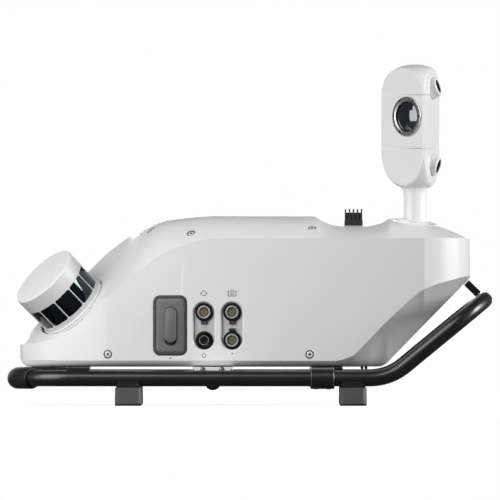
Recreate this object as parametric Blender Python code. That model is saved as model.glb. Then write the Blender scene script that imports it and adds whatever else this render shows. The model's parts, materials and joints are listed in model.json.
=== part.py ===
"""A mobile laser scanner for a vehicle roof: a hollow tapered housing in a tube frame on four feet.

Metres, +Z up. The nose with the spinning scan head points to -X, and the camera mast stands at the +X end.
The origin is on the ground plane, in the middle of the object's box.
"""

import math

import bmesh
import bpy
import numpy as np
from mathutils import Matrix, Vector

GAP = 0.0003

# Housing, seen from the side: the ridge, the edge where the shoulder meets the wall, and the underside.
NOSE_X = -0.3036
TAIL_X = 0.2930
BOTTOM_Z = 0.0508
SIDE_EDGE_Z = 0.2204
FILLET = 0.0079
RIDGE = [
    (NOSE_X, 0.0799), (-0.3010, 0.0818), (-0.2798, 0.1082), (-0.2138, 0.1756), (-0.1848, 0.2033),
    (-0.1452, 0.2303), (-0.1056, 0.2449), (-0.0396, 0.2501), (0.0900, 0.2501), (0.2000, 0.2468),
    (0.2336, 0.2429), (0.2640, 0.2336), (0.2904, 0.2218), (TAIL_X, 0.2191),
]
SHOULDER_EDGE = [
    (NOSE_X, 0.0799), (-0.2706, 0.0845), (-0.2310, 0.1016), (-0.1980, 0.1340), (-0.1452, 0.1780),
    (-0.1056, 0.2039), (-0.0462, 0.2196), (0.0000, SIDE_EDGE_Z), (0.2850, SIDE_EDGE_Z), (TAIL_X, 0.2185),
]
UNDERSIDE = [
    (NOSE_X, 0.0634), (-0.3010, 0.0570), (-0.2970, 0.0530), (-0.2930, 0.0513), (-0.2850, BOTTOM_Z),
    (0.1700, BOTTOM_Z), (0.1790, 0.0540), (0.1880, 0.0632), (0.2850, 0.1622), (0.2917, 0.1690), (TAIL_X, 0.1710),
]
LOWER_EDGE = [
    (NOSE_X, 0.0700), (-0.2930, 0.0600), (-0.2850, BOTTOM_Z + FILLET), (0.1100, BOTTOM_Z + FILLET),
    (0.1360, 0.0660), (0.1452, 0.0752), (0.1980, 0.1280), (0.2310, 0.1538), (0.2640, 0.1650),
    (TAIL_X, 0.1722),
]
# Housing, seen from above: a round nose, straight walls that open towards the back, a round tail.
NOSE_END_X = -0.1780
TAIL_START_X = 0.2290
NOSE_HALF_WIDTH = 0.0640
TAIL_HALF_WIDTH = 0.1189
WALL_SLOPE = (TAIL_HALF_WIDTH - NOSE_HALF_WIDTH) / (TAIL_START_X - NOSE_END_X)
WALL_ANGLE = math.atan(WALL_SLOPE)
TAIL_POWER = 3.2
TAIL_CUT = 0.26
FACET_END_X = -0.1888
CROWN_START_X = -0.0462
CROWN_POWER = 2.2
SADDLE_X = 0.1365
SADDLE_HALF = 0.0440
SADDLE_Z = 0.2374
SADDLE_RISE = 0.0093
WALL = 0.0042
SKIN = 0.0045
FLOOR = 0.0040
SPLIT_Z = BOTTOM_Z + FILLET
PAN_END_X = 0.1120

# Scan head: a drum whose axis leans forward, up and towards the near side.
SCAN_BASE = Vector((-0.2334, -0.0030, 0.1289))
SCAN_AXIS = Vector((-0.652, -0.328, 0.681)).normalized()
DRUM_R = 0.0470
BASE_R = 0.0487
SEAT_R = 0.0512
BAND_TOP = 0.0075
WINDOW_TOP = 0.0400
CAP_TOP = 0.0615
WINDOWS = 11
RIB_WIDTH = 0.0013
SPINDLE_R = 0.0075

# Tube frame.
TUBE_R = 0.0105
SLEEVE_R = 0.0139
RAIL_Y = 0.1485
RAIL_Z = 0.0360
LOOP_X = -0.3055
LOOP_BEND = 0.0680
COUPLING = (0.0792, 0.1109)
COUPLING_MIDDLE = 0.5 * sum(COUPLING)
SLOPE_X = 0.1833
REAR_BAR = (0.3089, 0.1393)
SLOPE_BEND = 0.0720
REAR_BEND = 0.0600
TUBE_SIDES = 14
BEND_STEPS = 6

# Feet under the rails.
FOOT_X = (-0.1597, 0.1356)
FOOT_LENGTH = 0.0356
FOOT_DEPTH = 0.0300
FOOT_TOP = 0.0238
CLAMP_TOP = 0.0330

# Wall fittings: X of the middle and heights.
CARTRIDGE_X = -0.1050
CARTRIDGE_Z = (0.0660, 0.1439)
CARTRIDGE_WIDTH = 0.0436
CARTRIDGE_CORNER = 0.0086
CARTRIDGE_DEPTH = 0.0760
GRIP_SIZE = (0.0158, 0.0502)
GRIP_TOP_Z = 0.1294
RECESS_X = (-0.0607, -0.0238)
RECESS_WIDTH = 0.0277
RECESS_Z = (0.0733, 0.1360)
UPPER_Z = 0.1228
LOWER_Z = 0.0858
PANEL_AT = 0.0046
PANEL_THICK = 0.0022
FLANGE_R = 0.0119
SHELL_R = 0.0087
INSERT_R = 0.0053
BUTTON_R = 0.0069

# Finned heat sink in the saddle of the deck.
FINS = 5
FIN_PITCH = 0.0053
FIN_WIDTH = 0.0019
FIN_FOOT = 0.2540
FIN_TOP = 0.2587
SINK_LEFT = 0.1250
SINK_LENGTH = (FINS - 1) * FIN_PITCH + FIN_WIDTH
SINK_LOW = 0.2300
SINK_HALF_Y = 0.0220

# Camera mast and head.
MAST_X = 0.2178
MAST_R = 0.0160
MAST_BORE = 0.0130
HEAD_Z = (0.2863, 0.4495)
HEAD_SEAMS = (0.3386, 0.4092)
HEAD_R = 0.0462
FACE_AT = 0.0240
FACES = (-45.0, 75.0, 195.0)
HEAD_EDGE = 40
HEAD_WALL = 0.0025
DOME_LOW = 0.0550
DOME_LOW_POWER = 2.2
DOME_HIGH = 0.0403
DOME_HIGH_POWER = 2.15
SIDE_LENS_Z = 0.3808
SIDE_LENS_SHIFT = 0.0096
SIDE_RING_R = 0.0262
SIDE_GLASS_R = 0.0205
SMALL_LENS = ((0.4112, 17.0), (0.3234, -15.0))
SMALL_HOOD_R = 0.0130
SMALL_GLASS_R = 0.0098


# ---------------------------------------------------------------- materials

def material(name, colour, roughness, metallic=0.0):
    made = bpy.data.materials.new(name)
    made.use_nodes = True
    shader = made.node_tree.nodes["Principled BSDF"]
    shader.inputs["Base Color"].default_value = (*colour, 1.0)
    shader.inputs["Roughness"].default_value = roughness
    shader.inputs["Metallic"].default_value = metallic
    made.diffuse_color = (*colour, 1.0)
    return made


def make_materials():
    return {
        "white": material("white_paint", (0.80, 0.80, 0.80), 0.28),
        "black": material("black_tube", (0.015, 0.015, 0.016), 0.35),
        "rubber": material("black_rubber", (0.02, 0.02, 0.02), 0.8),
        "grey": material("grey_plastic", (0.13, 0.13, 0.135), 0.5),
        "recess": material("recess_grey", (0.35, 0.35, 0.36), 0.55),
        "steel": material("steel", (0.55, 0.55, 0.56), 0.3, 1.0),
        "gold": material("gold_insert", (0.45, 0.33, 0.08), 0.35, 1.0),
        "glass": material("dark_glass", (0.01, 0.012, 0.02), 0.05),
        "alloy": material("alloy", (0.5, 0.5, 0.51), 0.4, 1.0),
        "board": material("board_green", (0.02, 0.16, 0.07), 0.5),
        "copper": material("copper", (0.6, 0.25, 0.12), 0.35, 1.0),
    }


# ---------------------------------------------------------------- mesh helpers

def finish_mesh(name, mesh_builder, finish, frame=None):
    """Makes an object from a bmesh given in the frame's own axes."""
    bmesh.ops.recalc_face_normals(mesh_builder, faces=mesh_builder.faces)
    mesh = bpy.data.meshes.new(name)
    mesh_builder.to_mesh(mesh)
    mesh_builder.free()
    mesh.shade_smooth()
    mesh.set_sharp_from_angle(angle=math.radians(35.0))
    made = bpy.data.objects.new(name, mesh)
    bpy.context.scene.collection.objects.link(made)
    if finish:
        mesh.materials.append(finish)
    if frame is not None:
        made.matrix_world = frame
    return made


def loft(rings, closed=False, start_pole=None, end_pole=None):
    """Skins rings of equally many points. It closes on itself, on poles, or on flat ends."""
    made = bmesh.new()
    rows = []
    for ring in rings:
        rows.append([made.verts.new(point) for point in ring])
    count = len(rows[0])
    pairs = list(zip(rows, rows[1:]))
    if closed:
        pairs.append((rows[-1], rows[0]))
    for first, second in pairs:
        for i in range(count):
            j = (i + 1) % count
            made.faces.new((first[i], first[j], second[j], second[i]))
    if closed:
        return made
    for row, pole in ((rows[0], start_pole), (rows[-1], end_pole)):
        if pole is None:
            made.faces.new(row)
            continue
        tip = made.verts.new(pole)
        for i in range(count):
            made.faces.new((row[i], row[(i + 1) % count], tip))
    return made


def turned(profile, sides, ring=False):
    """Turns (radius, height) points round the local Z axis. A ring's profile closes on itself."""
    angles = [2.0 * math.pi * i / sides for i in range(sides)]

    def circle(radius, height):
        return [(radius * math.cos(a), radius * math.sin(a), height) for a in angles]

    if ring:
        return loft([circle(r, h) for r, h in profile], closed=True)
    inner = [circle(r, h) for r, h in profile if r > 0.0]
    start = (0.0, 0.0, profile[0][1]) if profile[0][0] == 0.0 else None
    end = (0.0, 0.0, profile[-1][1]) if profile[-1][0] == 0.0 else None
    return loft(inner, start_pole=start, end_pole=end)


def disc(radius, low, high):
    """The profile of a plain cylinder, from its top round to its bottom."""
    return [(0.0, high), (radius, high), (radius, low), (0.0, low)]


def washer(inner, outer, low, high):
    """The profile of a plain ring."""
    return [(outer, high), (outer, low), (inner, low), (inner, high)]


def box_mesh(low, high, bevel=0.0):
    made = bmesh.new()
    bmesh.ops.create_cube(made, size=1.0)
    size = Vector(high) - Vector(low)
    middle = 0.5 * (Vector(high) + Vector(low))
    for vert in made.verts:
        vert.co = Vector([vert.co[k] * size[k] + middle[k] for k in range(3)])
    if bevel:
        bmesh.ops.bevel(made, geom=made.edges[:], offset=bevel, segments=1, affect="EDGES")
    return made


def rounded_outline(width, height, radius, steps=5):
    """A rectangle's outline with round corners, counter-clockwise about its middle."""
    points = []
    for quarter in range(4):
        turn = quarter * math.pi / 2.0
        sx = 1.0 if quarter in (0, 3) else -1.0
        sy = 1.0 if quarter in (0, 1) else -1.0
        cx = sx * (width / 2.0 - radius)
        cy = sy * (height / 2.0 - radius)
        for i in range(steps + 1):
            a = turn + i * math.pi / 2.0 / steps
            points.append((cx + radius * math.cos(a), cy + radius * math.sin(a)))
    return points


def wall_block(outline, near, far):
    """Extrudes an outline, given along the wall and up, from one depth behind the wall to another."""
    rings = [[(x, depth, z) for x, z in outline] for depth in (near, far)]
    return loft(rings)


def plan_plate(outline, low, high):
    return loft([[(x, y, z) for x, y in outline] for z in (low, high)])


def rounded_path(corners, radii, steps=BEND_STEPS):
    """A route of straight runs with an arc at each inner corner."""
    path = [Vector(corners[0])]
    for before, corner, after, radius in zip(corners, corners[1:], corners[2:], radii):
        back = (Vector(before) - Vector(corner)).normalized()
        ahead = (Vector(after) - Vector(corner)).normalized()
        half = 0.5 * back.angle(ahead)
        middle = (back + ahead).normalized() * (radius / math.sin(half))
        start = back * (radius / math.tan(half)) - middle
        end = ahead * (radius / math.tan(half)) - middle
        turn = start.angle(end)
        for i in range(steps + 1):
            arm = start * math.sin(turn * (1.0 - i / steps)) + end * math.sin(turn * i / steps)
            path.append(Vector(corner) + middle + arm / math.sin(turn))
    path.append(Vector(corners[-1]))
    return path


def swept(path, radius, bore=0.0, trim=slice(None)):
    """A round tube along a path, or the part of it that trim picks, solid or with a bore."""
    tangents = []
    for i in range(len(path)):
        ahead = path[min(i + 1, len(path) - 1)] - path[i]
        behind = path[i] - path[max(i - 1, 0)]
        tangents.append((ahead.normalized() + behind.normalized()).normalized())
    side = tangents[0].cross(Vector((0.0, 0.0, 1.0))).normalized()
    rings = {}
    for i, tangent in enumerate(tangents):
        if i:
            turn = tangents[i - 1].rotation_difference(tangent)
            side = (turn @ side).normalized()
        up = tangent.cross(side)
        # A mitred ring is stretched across the bend, so that the tube keeps its radius.
        behind = (path[i] - path[max(i - 1, 0)]) if i else (path[1] - path[0])
        stretch = 1.0 / max(0.5, abs(behind.normalized().dot(tangent)))
        inward = Vector((0.0, 0.0, 0.0))
        if 0 < i < len(path) - 1:
            bend = (path[i + 1] - path[i]).normalized() - (path[i] - path[i - 1]).normalized()
            inward = bend.normalized() if bend.length > 1e-6 else inward
        for r in (radius, bore):
            ring = []
            for k in range(TUBE_SIDES):
                a = 2.0 * math.pi * k / TUBE_SIDES
                arm = (side * math.cos(a) + up * math.sin(a)) * r
                arm += inward * arm.dot(inward) * (stretch - 1.0)
                ring.append(path[i] + arm)
            rings.setdefault(r, []).append(ring)
    outer = rings[radius][trim]
    if not bore:
        return loft(outer)
    return loft(outer + rings[bore][trim][::-1], closed=True)


def boolean(target, other, operation="DIFFERENCE"):
    other.hide_render = True
    other.display_type = "WIRE"
    modifier = target.modifiers.new(f"{operation.lower()}_{other.name}", "BOOLEAN")
    modifier.operation = operation
    modifier.object = other
    modifier.solver = "EXACT"


# ---------------------------------------------------------------- frames

def axis_frame(origin, up, towards):
    """A frame whose Z is up and whose X is as near as can be to towards."""
    z = Vector(up).normalized()
    x = (Vector(towards) - z * Vector(towards).dot(z)).normalized()
    y = z.cross(x)
    return Matrix.Translation(origin) @ Matrix((x, y, z)).transposed().to_4x4()


def wall_frame(x, z=0.0):
    """X along the near wall, Y into the housing, Z up, with its origin on the wall's outer face."""
    out = Vector((x, -half_width(x), z))
    along = Vector((math.cos(WALL_ANGLE), -math.sin(WALL_ANGLE), 0.0))
    inward = Vector((math.sin(WALL_ANGLE), math.cos(WALL_ANGLE), 0.0))
    return Matrix.Translation(out) @ Matrix((along, inward, Vector((0.0, 0.0, 1.0)))).transposed().to_4x4()


def fitting_frame(x, z):
    """Z into the housing, for round fittings on the near wall."""
    return wall_frame(x, z) @ Matrix.Rotation(-math.pi / 2.0, 4, "X")


def face_frame(bearing, height, tilt=0.0):
    """Z out of a face of the camera head, from the mast's axis at that height."""
    flat = Vector((math.sin(math.radians(bearing)), -math.cos(math.radians(bearing)), 0.0))
    out = flat * math.cos(math.radians(tilt)) + Vector((0.0, 0.0, math.sin(math.radians(tilt))))
    return axis_frame(Vector((MAST_X, 0.0, height)), out, (0.0, 0.0, 1.0))


# ---------------------------------------------------------------- the housing's surface

def smoothstep(low, high, value):
    t = min(max((value - low) / (high - low), 0.0), 1.0)
    return t * t * (3.0 - 2.0 * t)


def along(points, x):
    """A smooth curve through points, with no overshoot between them."""
    xs = [p[0] for p in points]
    zs = [p[1] for p in points]
    i = min(max(int(np.searchsorted(xs, x)) - 1, 0), len(xs) - 2)

    def secant(k):
        return (zs[k + 1] - zs[k]) / (xs[k + 1] - xs[k])

    def slope(k):
        if k in (0, len(xs) - 1):
            return secant(min(k, len(xs) - 2))
        before, after = secant(k - 1), secant(k)
        return 2.0 * before * after / (before + after) if before * after > 0.0 else 0.0

    step = xs[i + 1] - xs[i]
    t = min(max((x - xs[i]) / step, 0.0), 1.0)
    h00 = 2.0 * t**3 - 3.0 * t**2 + 1.0
    h10 = t**3 - 2.0 * t**2 + t
    h01 = -2.0 * t**3 + 3.0 * t**2
    h11 = t**3 - t**2
    return h00 * zs[i] + h10 * step * slope(i) + h01 * zs[i + 1] + h11 * step * slope(i + 1)


def half_width(x):
    straight = NOSE_HALF_WIDTH + WALL_SLOPE * (x - NOSE_END_X)
    if x < NOSE_END_X:
        t = min((NOSE_END_X - x) / (NOSE_END_X - NOSE_X), 0.9999)
        return straight * math.sqrt(1.0 - t * t)
    if x > TAIL_START_X:
        length = TAIL_X - TAIL_START_X
        past = x - TAIL_START_X
        t = min(past / length, 0.9999)
        eased = TAIL_HALF_WIDTH + WALL_SLOPE * past * (1.0 - 0.5 * t)
        return eased * (1.0 - TAIL_CUT * t) * (1.0 - t**TAIL_POWER) ** (1.0 / TAIL_POWER)
    return straight


def ridge(x):
    saddle = SADDLE_Z + SADDLE_RISE * abs((x - SADDLE_X) / SADDLE_HALF) ** 3
    return min(along(RIDGE, x), saddle)


def shoulder_shape(u, crowned):
    """How far up the shoulder rises at u across the section: a facet that leans, or a crown."""
    facet = 0.5 * (u + 1.0)
    crown = 1.0 - abs(u) ** CROWN_POWER
    return facet + (crown - facet) * crowned


def section(x, steps, wall=0.0, skin=0.0, floor=0.0):
    """One closed cross-section at x: over the top from the near side, then back underneath."""
    width = half_width(x) - wall
    top, edge = ridge(x), along(SHOULDER_EDGE, x)
    low_edge, low = along(LOWER_EDGE, x), along(UNDERSIDE, x)
    crowned = smoothstep(FACET_END_X, CROWN_START_X, x)
    low_power = 14.0 - 11.6 * smoothstep(0.110, 0.175, x)
    across = [math.sin(0.5 * math.pi * s) for s in np.linspace(-1.0, 1.0, steps)]
    peak = max(shoulder_shape(u, crowned) for u in np.linspace(-1.0, 1.0, 81))
    points = []
    for u in across:
        points.append((x, u * width, edge + (top - edge) * shoulder_shape(u, crowned) / peak - skin))
    for u in reversed(across):
        points.append((x, u * width, low_edge - (low_edge - low) * (1.0 - abs(u) ** low_power) + floor))
    return points


def stations(nose_steps, tail_steps, start, end):
    """X of the cross-sections, close together where the plan turns."""
    middle = [-0.160, -0.140, -0.120, -0.100, -0.075, -0.046, 0.0, 0.045, 0.090, 0.096, 0.104, 0.1185]
    middle += [0.1365, 0.1545, 0.169, 0.178, 0.184, 0.200]
    xs = []
    for i in range(nose_steps):
        a = 0.5 * math.pi * (1.0 - i / nose_steps) - 0.03 * (i == 0)
        xs.append(NOSE_END_X - (NOSE_END_X - NOSE_X) * math.sin(a))
    xs += [NOSE_END_X, *middle, TAIL_START_X]
    for i in range(1, tail_steps + 1):
        a = 0.5 * math.pi * i / tail_steps - 0.03 * (i == tail_steps)
        xs.append(TAIL_START_X + (TAIL_X - TAIL_START_X) * math.sin(a) ** (2.0 / TAIL_POWER))
    inside = [x for x in xs if start + 0.002 < x < end - 0.002]
    return [start, *inside, end]


def housing_mesh():
    xs = stations(9, 8, NOSE_X + 0.0003, TAIL_X - 0.0002)
    return loft([section(x, 13) for x in xs])


def cavity_mesh():
    xs = stations(6, 6, -0.2960, 0.2860)
    return loft([section(x, 9, WALL, SKIN, FLOOR) for x in xs])


# ---------------------------------------------------------------- housing pieces

def make_housing(m):
    helpers = {
        "cavity": finish_mesh("cutter_cavity", cavity_mesh(), None),
        "below": finish_mesh(
            "cutter_below", box_mesh((-0.33, -0.2, 0.03), (PAN_END_X + GAP / 2, 0.2, SPLIT_Z + GAP / 2)), None
        ),
        "pan": finish_mesh(
            "keeper_pan", box_mesh((-0.33, -0.2, 0.03), (PAN_END_X - GAP / 2, 0.2, SPLIT_Z - GAP / 2)), None
        ),
    }
    hood = finish_mesh("hood_shell", housing_mesh(), m["white"])
    boolean(hood, helpers["cavity"])
    boolean(hood, helpers["below"])
    scan = axis_frame(SCAN_BASE, SCAN_AXIS, (0.0, -1.0, 0.0))
    cutters = [
        finish_mesh("cutter_scan", turned(disc(SEAT_R + 0.0004, -0.0096, 0.030), 32), None, scan),
        finish_mesh(
            "cutter_mast",
            turned(disc(MAST_R + 0.0015, 0.228, 0.27), 24),
            None,
            Matrix.Translation((MAST_X, 0.0, 0.0)),
        ),
        finish_mesh(
            "cutter_heat_sink",
            box_mesh(
                (SINK_LEFT - 2 * GAP, -SINK_HALF_Y - 2 * GAP, 0.225),
                (SINK_LEFT + SINK_LENGTH + 2 * GAP, SINK_HALF_Y + 2 * GAP, 0.27),
            ),
            None,
        ),
    ]
    middle_z = 0.5 * sum(RECESS_Z)
    for i, x in enumerate(RECESS_X):
        outline = rounded_outline(RECESS_WIDTH, RECESS_Z[1] - RECESS_Z[0], RECESS_WIDTH / 2.001, 6)
        block = wall_block(outline, -0.01, 0.012)
        cutters.append(finish_mesh(f"cutter_recess_{i}", block, None, wall_frame(x, middle_z)))
    clear = 0.0012
    outline = rounded_outline(
        CARTRIDGE_WIDTH + clear, CARTRIDGE_Z[1] - CARTRIDGE_Z[0] + clear, CARTRIDGE_CORNER + clear / 2
    )
    block = wall_block(outline, -0.01, 0.012)
    cutters.append(finish_mesh("cutter_cartridge", block, None, wall_frame(CARTRIDGE_X, 0.5 * sum(CARTRIDGE_Z))))
    for cutter in cutters:
        boolean(hood, cutter)

    pan = finish_mesh("base_pan", housing_mesh(), m["white"])
    boolean(pan, helpers["pan"], "INTERSECT")
    boolean(pan, helpers["cavity"])


def make_insides(m):
    blocks = {
        "chassis_plate": ((-0.150, -0.044, 0.0552), (0.105, 0.044, 0.0591), "alloy"),
        "main_board": ((-0.004, -0.056, 0.0620), (0.100, 0.056, 0.0640), "board"),
        "inertial_unit": ((-0.062, 0.004, 0.0595), (-0.008, 0.058, 0.1150), "alloy"),
        "power_module": ((0.012, -0.045, 0.0700), (0.100, 0.045, 0.1080), "grey"),
    }
    for name, (low, high, finish) in blocks.items():
        finish_mesh(name, box_mesh(low, high, 0.0008), m[finish])
    width = CARTRIDGE_WIDTH + 0.0012
    height = CARTRIDGE_Z[1] - CARTRIDGE_Z[0] + 0.0012
    frame = wall_frame(CARTRIDGE_X, 0.5 * sum(CARTRIDGE_Z))
    bay_near = WALL + 0.0005
    outer = rounded_outline(width + 0.004, height + 0.004, CARTRIDGE_CORNER + 0.0026)
    bay = finish_mesh("storage_bay", wall_block(outer, bay_near, CARTRIDGE_DEPTH + 0.007), m["grey"], frame)
    inner = rounded_outline(width, height, CARTRIDGE_CORNER + 0.0006)
    hollow = finish_mesh("cutter_bay", wall_block(inner, -0.01, CARTRIDGE_DEPTH + 0.004), None, frame)
    boolean(bay, hollow)


def make_heat_sink(m):
    """A finned block: its fins stand on a base that passes through the deck."""
    outline = []
    for i in range(FINS):
        x = SINK_LEFT + i * FIN_PITCH
        left_foot = SINK_LOW if i == 0 else FIN_FOOT
        right_foot = SINK_LOW if i == FINS - 1 else FIN_FOOT
        outline += [(x, left_foot), (x, FIN_TOP), (x + FIN_WIDTH, FIN_TOP), (x + FIN_WIDTH, right_foot)]
    rings = [[(x, y, z) for x, z in outline] for y in (-SINK_HALF_Y, SINK_HALF_Y)]
    finish_mesh("heat_sink", loft(rings), m["black"])


# ---------------------------------------------------------------- fittings on the near wall

def make_fittings(m):
    middle_z = 0.5 * sum(RECESS_Z)
    height = RECESS_Z[1] - RECESS_Z[0]
    for name, x in zip(("front", "rear"), RECESS_X):
        outline = rounded_outline(0.0330, height + 0.0060, 0.0160, 6)
        block = wall_block(outline, PANEL_AT, PANEL_AT + PANEL_THICK)
        panel = finish_mesh(f"connector_panel_{name}", block, m["recess"], wall_frame(x, middle_z))
        for z in (UPPER_Z, LOWER_Z):
            hole = turned(disc(0.0078, -0.01, 0.02), 18)
            boolean(panel, finish_mesh(f"cutter_{name}_{round(z * 1e4)}", hole, None, fitting_frame(x, z)))
    front = PANEL_AT - GAP
    places = {
        "antenna": (RECESS_X[0], UPPER_Z),
        "camera": (RECESS_X[1], UPPER_Z),
        "data": (RECESS_X[1], LOWER_Z),
    }
    for name, (x, z) in places.items():
        frame = fitting_frame(x, z)
        shell = [
            (SHELL_R, front - 0.0042), (SHELL_R, front - 0.0020), (FLANGE_R, front - 0.0020), (FLANGE_R, front),
            (0.0075, front), (0.0075, 0.0130), (0.0062, 0.0130), (0.0062, front - 0.0042),
        ]
        finish_mesh(f"connector_{name}", turned(shell, 20, ring=True), m["steel"], frame)
        insert = disc(INSERT_R, front - 0.0030, 0.0128)
        finish_mesh(f"connector_insert_{name}", turned(insert[::-1], 14), m["gold"], frame)
    frame = fitting_frame(RECESS_X[0], LOWER_Z)
    bezel = [
        (0.0098, front - 0.0026), (FLANGE_R, front - 0.0016), (FLANGE_R, front), (0.0075, front),
        (0.0075, front - 0.0026),
    ]
    finish_mesh("button_bezel", turned(bezel, 20, ring=True), m["black"], frame)
    button = finish_mesh("power_button", turned(disc(BUTTON_R, front - 0.0034, 0.0090)[::-1], 18), m["black"])
    carry(button, frame)

    frame = wall_frame(CARTRIDGE_X, 0.5 * sum(CARTRIDGE_Z))
    height = CARTRIDGE_Z[1] - CARTRIDGE_Z[0]
    rings = []
    for depth, inset in ((-0.0016, 0.0016), (0.0, 0.0), (CARTRIDGE_DEPTH, 0.0)):
        outline = rounded_outline(
            CARTRIDGE_WIDTH - 2 * inset, height - 2 * inset, CARTRIDGE_CORNER - inset
        )
        rings.append([(x, depth, z) for x, z in outline])
    cartridge = finish_mesh("cartridge", loft(rings), m["grey"])
    carry(cartridge, frame)
    grip_frame = wall_frame(CARTRIDGE_X, GRIP_TOP_Z)
    grip_frame = grip_frame @ Matrix.Translation((0.0, -0.0016 - GAP, 0.0))
    half = GRIP_SIZE[1] / 2.0
    rings = []
    for depth, inset in ((-0.0044, 0.0012), (-0.0034, 0.0), (0.0, 0.0)):
        outline = rounded_outline(
            GRIP_SIZE[0] - 2 * inset, GRIP_SIZE[1] - 2 * inset, GRIP_SIZE[0] / 2.001 - inset, 5
        )
        rings.append([(x + 0.0007, depth, z - half) for x, z in outline])
    carry(finish_mesh("cartridge_grip", loft(rings), m["grey"]), grip_frame)


def carry(made, frame):
    """Hangs a moving piece on an empty that stands on its joint's axis."""
    holder = bpy.data.objects.new(f"axis_{made.name}", None)
    holder.matrix_world = frame
    bpy.context.scene.collection.objects.link(holder)
    made.parent = holder
    return holder


# ---------------------------------------------------------------- scan head

def make_scan_head(m):
    frame = axis_frame(SCAN_BASE, SCAN_AXIS, (0.0, -1.0, 0.0))
    seat = [
        (SEAT_R, -0.0006), (SEAT_R, -0.0090), (0.0120, -0.0090), (0.0120, -0.0065),
        (BASE_R + 0.0009, -0.0065), (BASE_R + 0.0009, -0.0006),
    ]
    finish_mesh("scan_seat_ring", turned(seat, 32, ring=True), m["black"], frame)
    stator = washer(0.0122, 0.0330, -0.0260, -0.0093)
    finish_mesh("scan_motor_stator", turned(stator, 24, ring=True), m["copper"], frame)
    bearing = washer(SPINDLE_R + 0.0003, 0.0117, -0.0088, -0.0067)
    finish_mesh("scan_bearing", turned(bearing, 20, ring=True), m["steel"], frame)

    holder = bpy.data.objects.new("axis_scan_head", None)
    holder.matrix_world = frame
    bpy.context.scene.collection.objects.link(holder)
    base = [
        (BASE_R, -0.0040), (SPINDLE_R + GAP, -0.0040), (SPINDLE_R + GAP, BAND_TOP), (DRUM_R, BAND_TOP),
        (DRUM_R, 0.0025), (BASE_R, 0.0018),
    ]
    cage = washer(DRUM_R - 0.0007, DRUM_R, BAND_TOP + GAP, WINDOW_TOP)
    window = washer(DRUM_R - 0.0035, DRUM_R - 0.0010, BAND_TOP + GAP, WINDOW_TOP)
    cap = [(0.0, WINDOW_TOP + GAP), (DRUM_R, WINDOW_TOP + GAP)]
    fillet, crown = 0.0040, 0.0018
    for i in range(4):
        a = i / 3.0 * math.pi / 2.0
        cap.append((DRUM_R - fillet + fillet * math.cos(a), CAP_TOP - crown - fillet + fillet * math.sin(a)))
    cap += [(0.0280, CAP_TOP - 0.0006), (0.0, CAP_TOP)]
    spindle = [
        (0.0, -0.0280), (SPINDLE_R, -0.0280), (SPINDLE_R, BAND_TOP + 0.0006), (0.0200, BAND_TOP + 0.0006),
        (0.0200, 0.0340), (0.0, 0.0340),
    ]
    pieces = {
        "scan_base": (turned(base, 40, ring=True), "white"),
        "scan_cage": (turned(cage, 48, ring=True), "white"),
        "scan_window": (turned(window, 48, ring=True), "glass"),
        "scan_cap": (turned(cap, 40), "white"),
        "scan_spindle": (turned(spindle, 18), "alloy"),
    }
    made = {}
    for name, (mesh, finish) in pieces.items():
        made[name] = finish_mesh(name, mesh, m[finish])
        made[name].parent = holder
    windows = bmesh.new()
    half = math.pi / WINDOWS - 0.5 * RIB_WIDTH / DRUM_R
    for k in range(WINDOWS):
        corners = []
        for r in (DRUM_R - 0.004, DRUM_R + 0.004):
            for a in (-half, half):
                turn = 2.0 * math.pi * k / WINDOWS + a
                for h in (BAND_TOP + 0.0013, WINDOW_TOP - 0.0010):
                    corners.append(windows.verts.new((r * math.cos(turn), r * math.sin(turn), h)))
        for face in ((0, 1, 3, 2), (4, 6, 7, 5), (0, 4, 5, 1), (2, 3, 7, 6), (0, 2, 6, 4), (1, 5, 7, 3)):
            windows.faces.new([corners[i] for i in face])
    cutter = finish_mesh("cutter_windows", windows, None)
    cutter.parent = holder
    boolean(made["scan_cage"], cutter)


# ---------------------------------------------------------------- camera mast and head

def head_radius(z):
    """The head's round outline: an upright capsule."""
    if z < HEAD_SEAMS[0]:
        t = (HEAD_SEAMS[0] - z) / DOME_LOW
        return HEAD_R * (1.0 - min(t, 1.0) ** DOME_LOW_POWER) ** (1.0 / DOME_LOW_POWER)
    t = min(max(z - HEAD_SEAMS[1], 0.0) / DOME_HIGH, 1.0)
    return HEAD_R * (1.0 - t**DOME_HIGH_POWER) ** (1.0 / DOME_HIGH_POWER)


def head_ring(z, inset=0.0, sides=36):
    """The capsule's circle, flattened on three sides, with soft edges where they meet."""
    round_r = max(head_radius(z), 0.0005)
    ring = []
    for i in range(sides):
        bearing = 360.0 * (i + 0.5) / sides
        off = min(abs((bearing - face + 180.0) % 360.0 - 180.0) for face in FACES)
        flat_r = FACE_AT / math.cos(math.radians(off))
        r = (round_r**-HEAD_EDGE + flat_r**-HEAD_EDGE) ** (-1.0 / HEAD_EDGE) - inset
        a = math.radians(bearing)
        ring.append((MAST_X + r * math.sin(a), -r * math.cos(a), z))
    return ring


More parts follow.
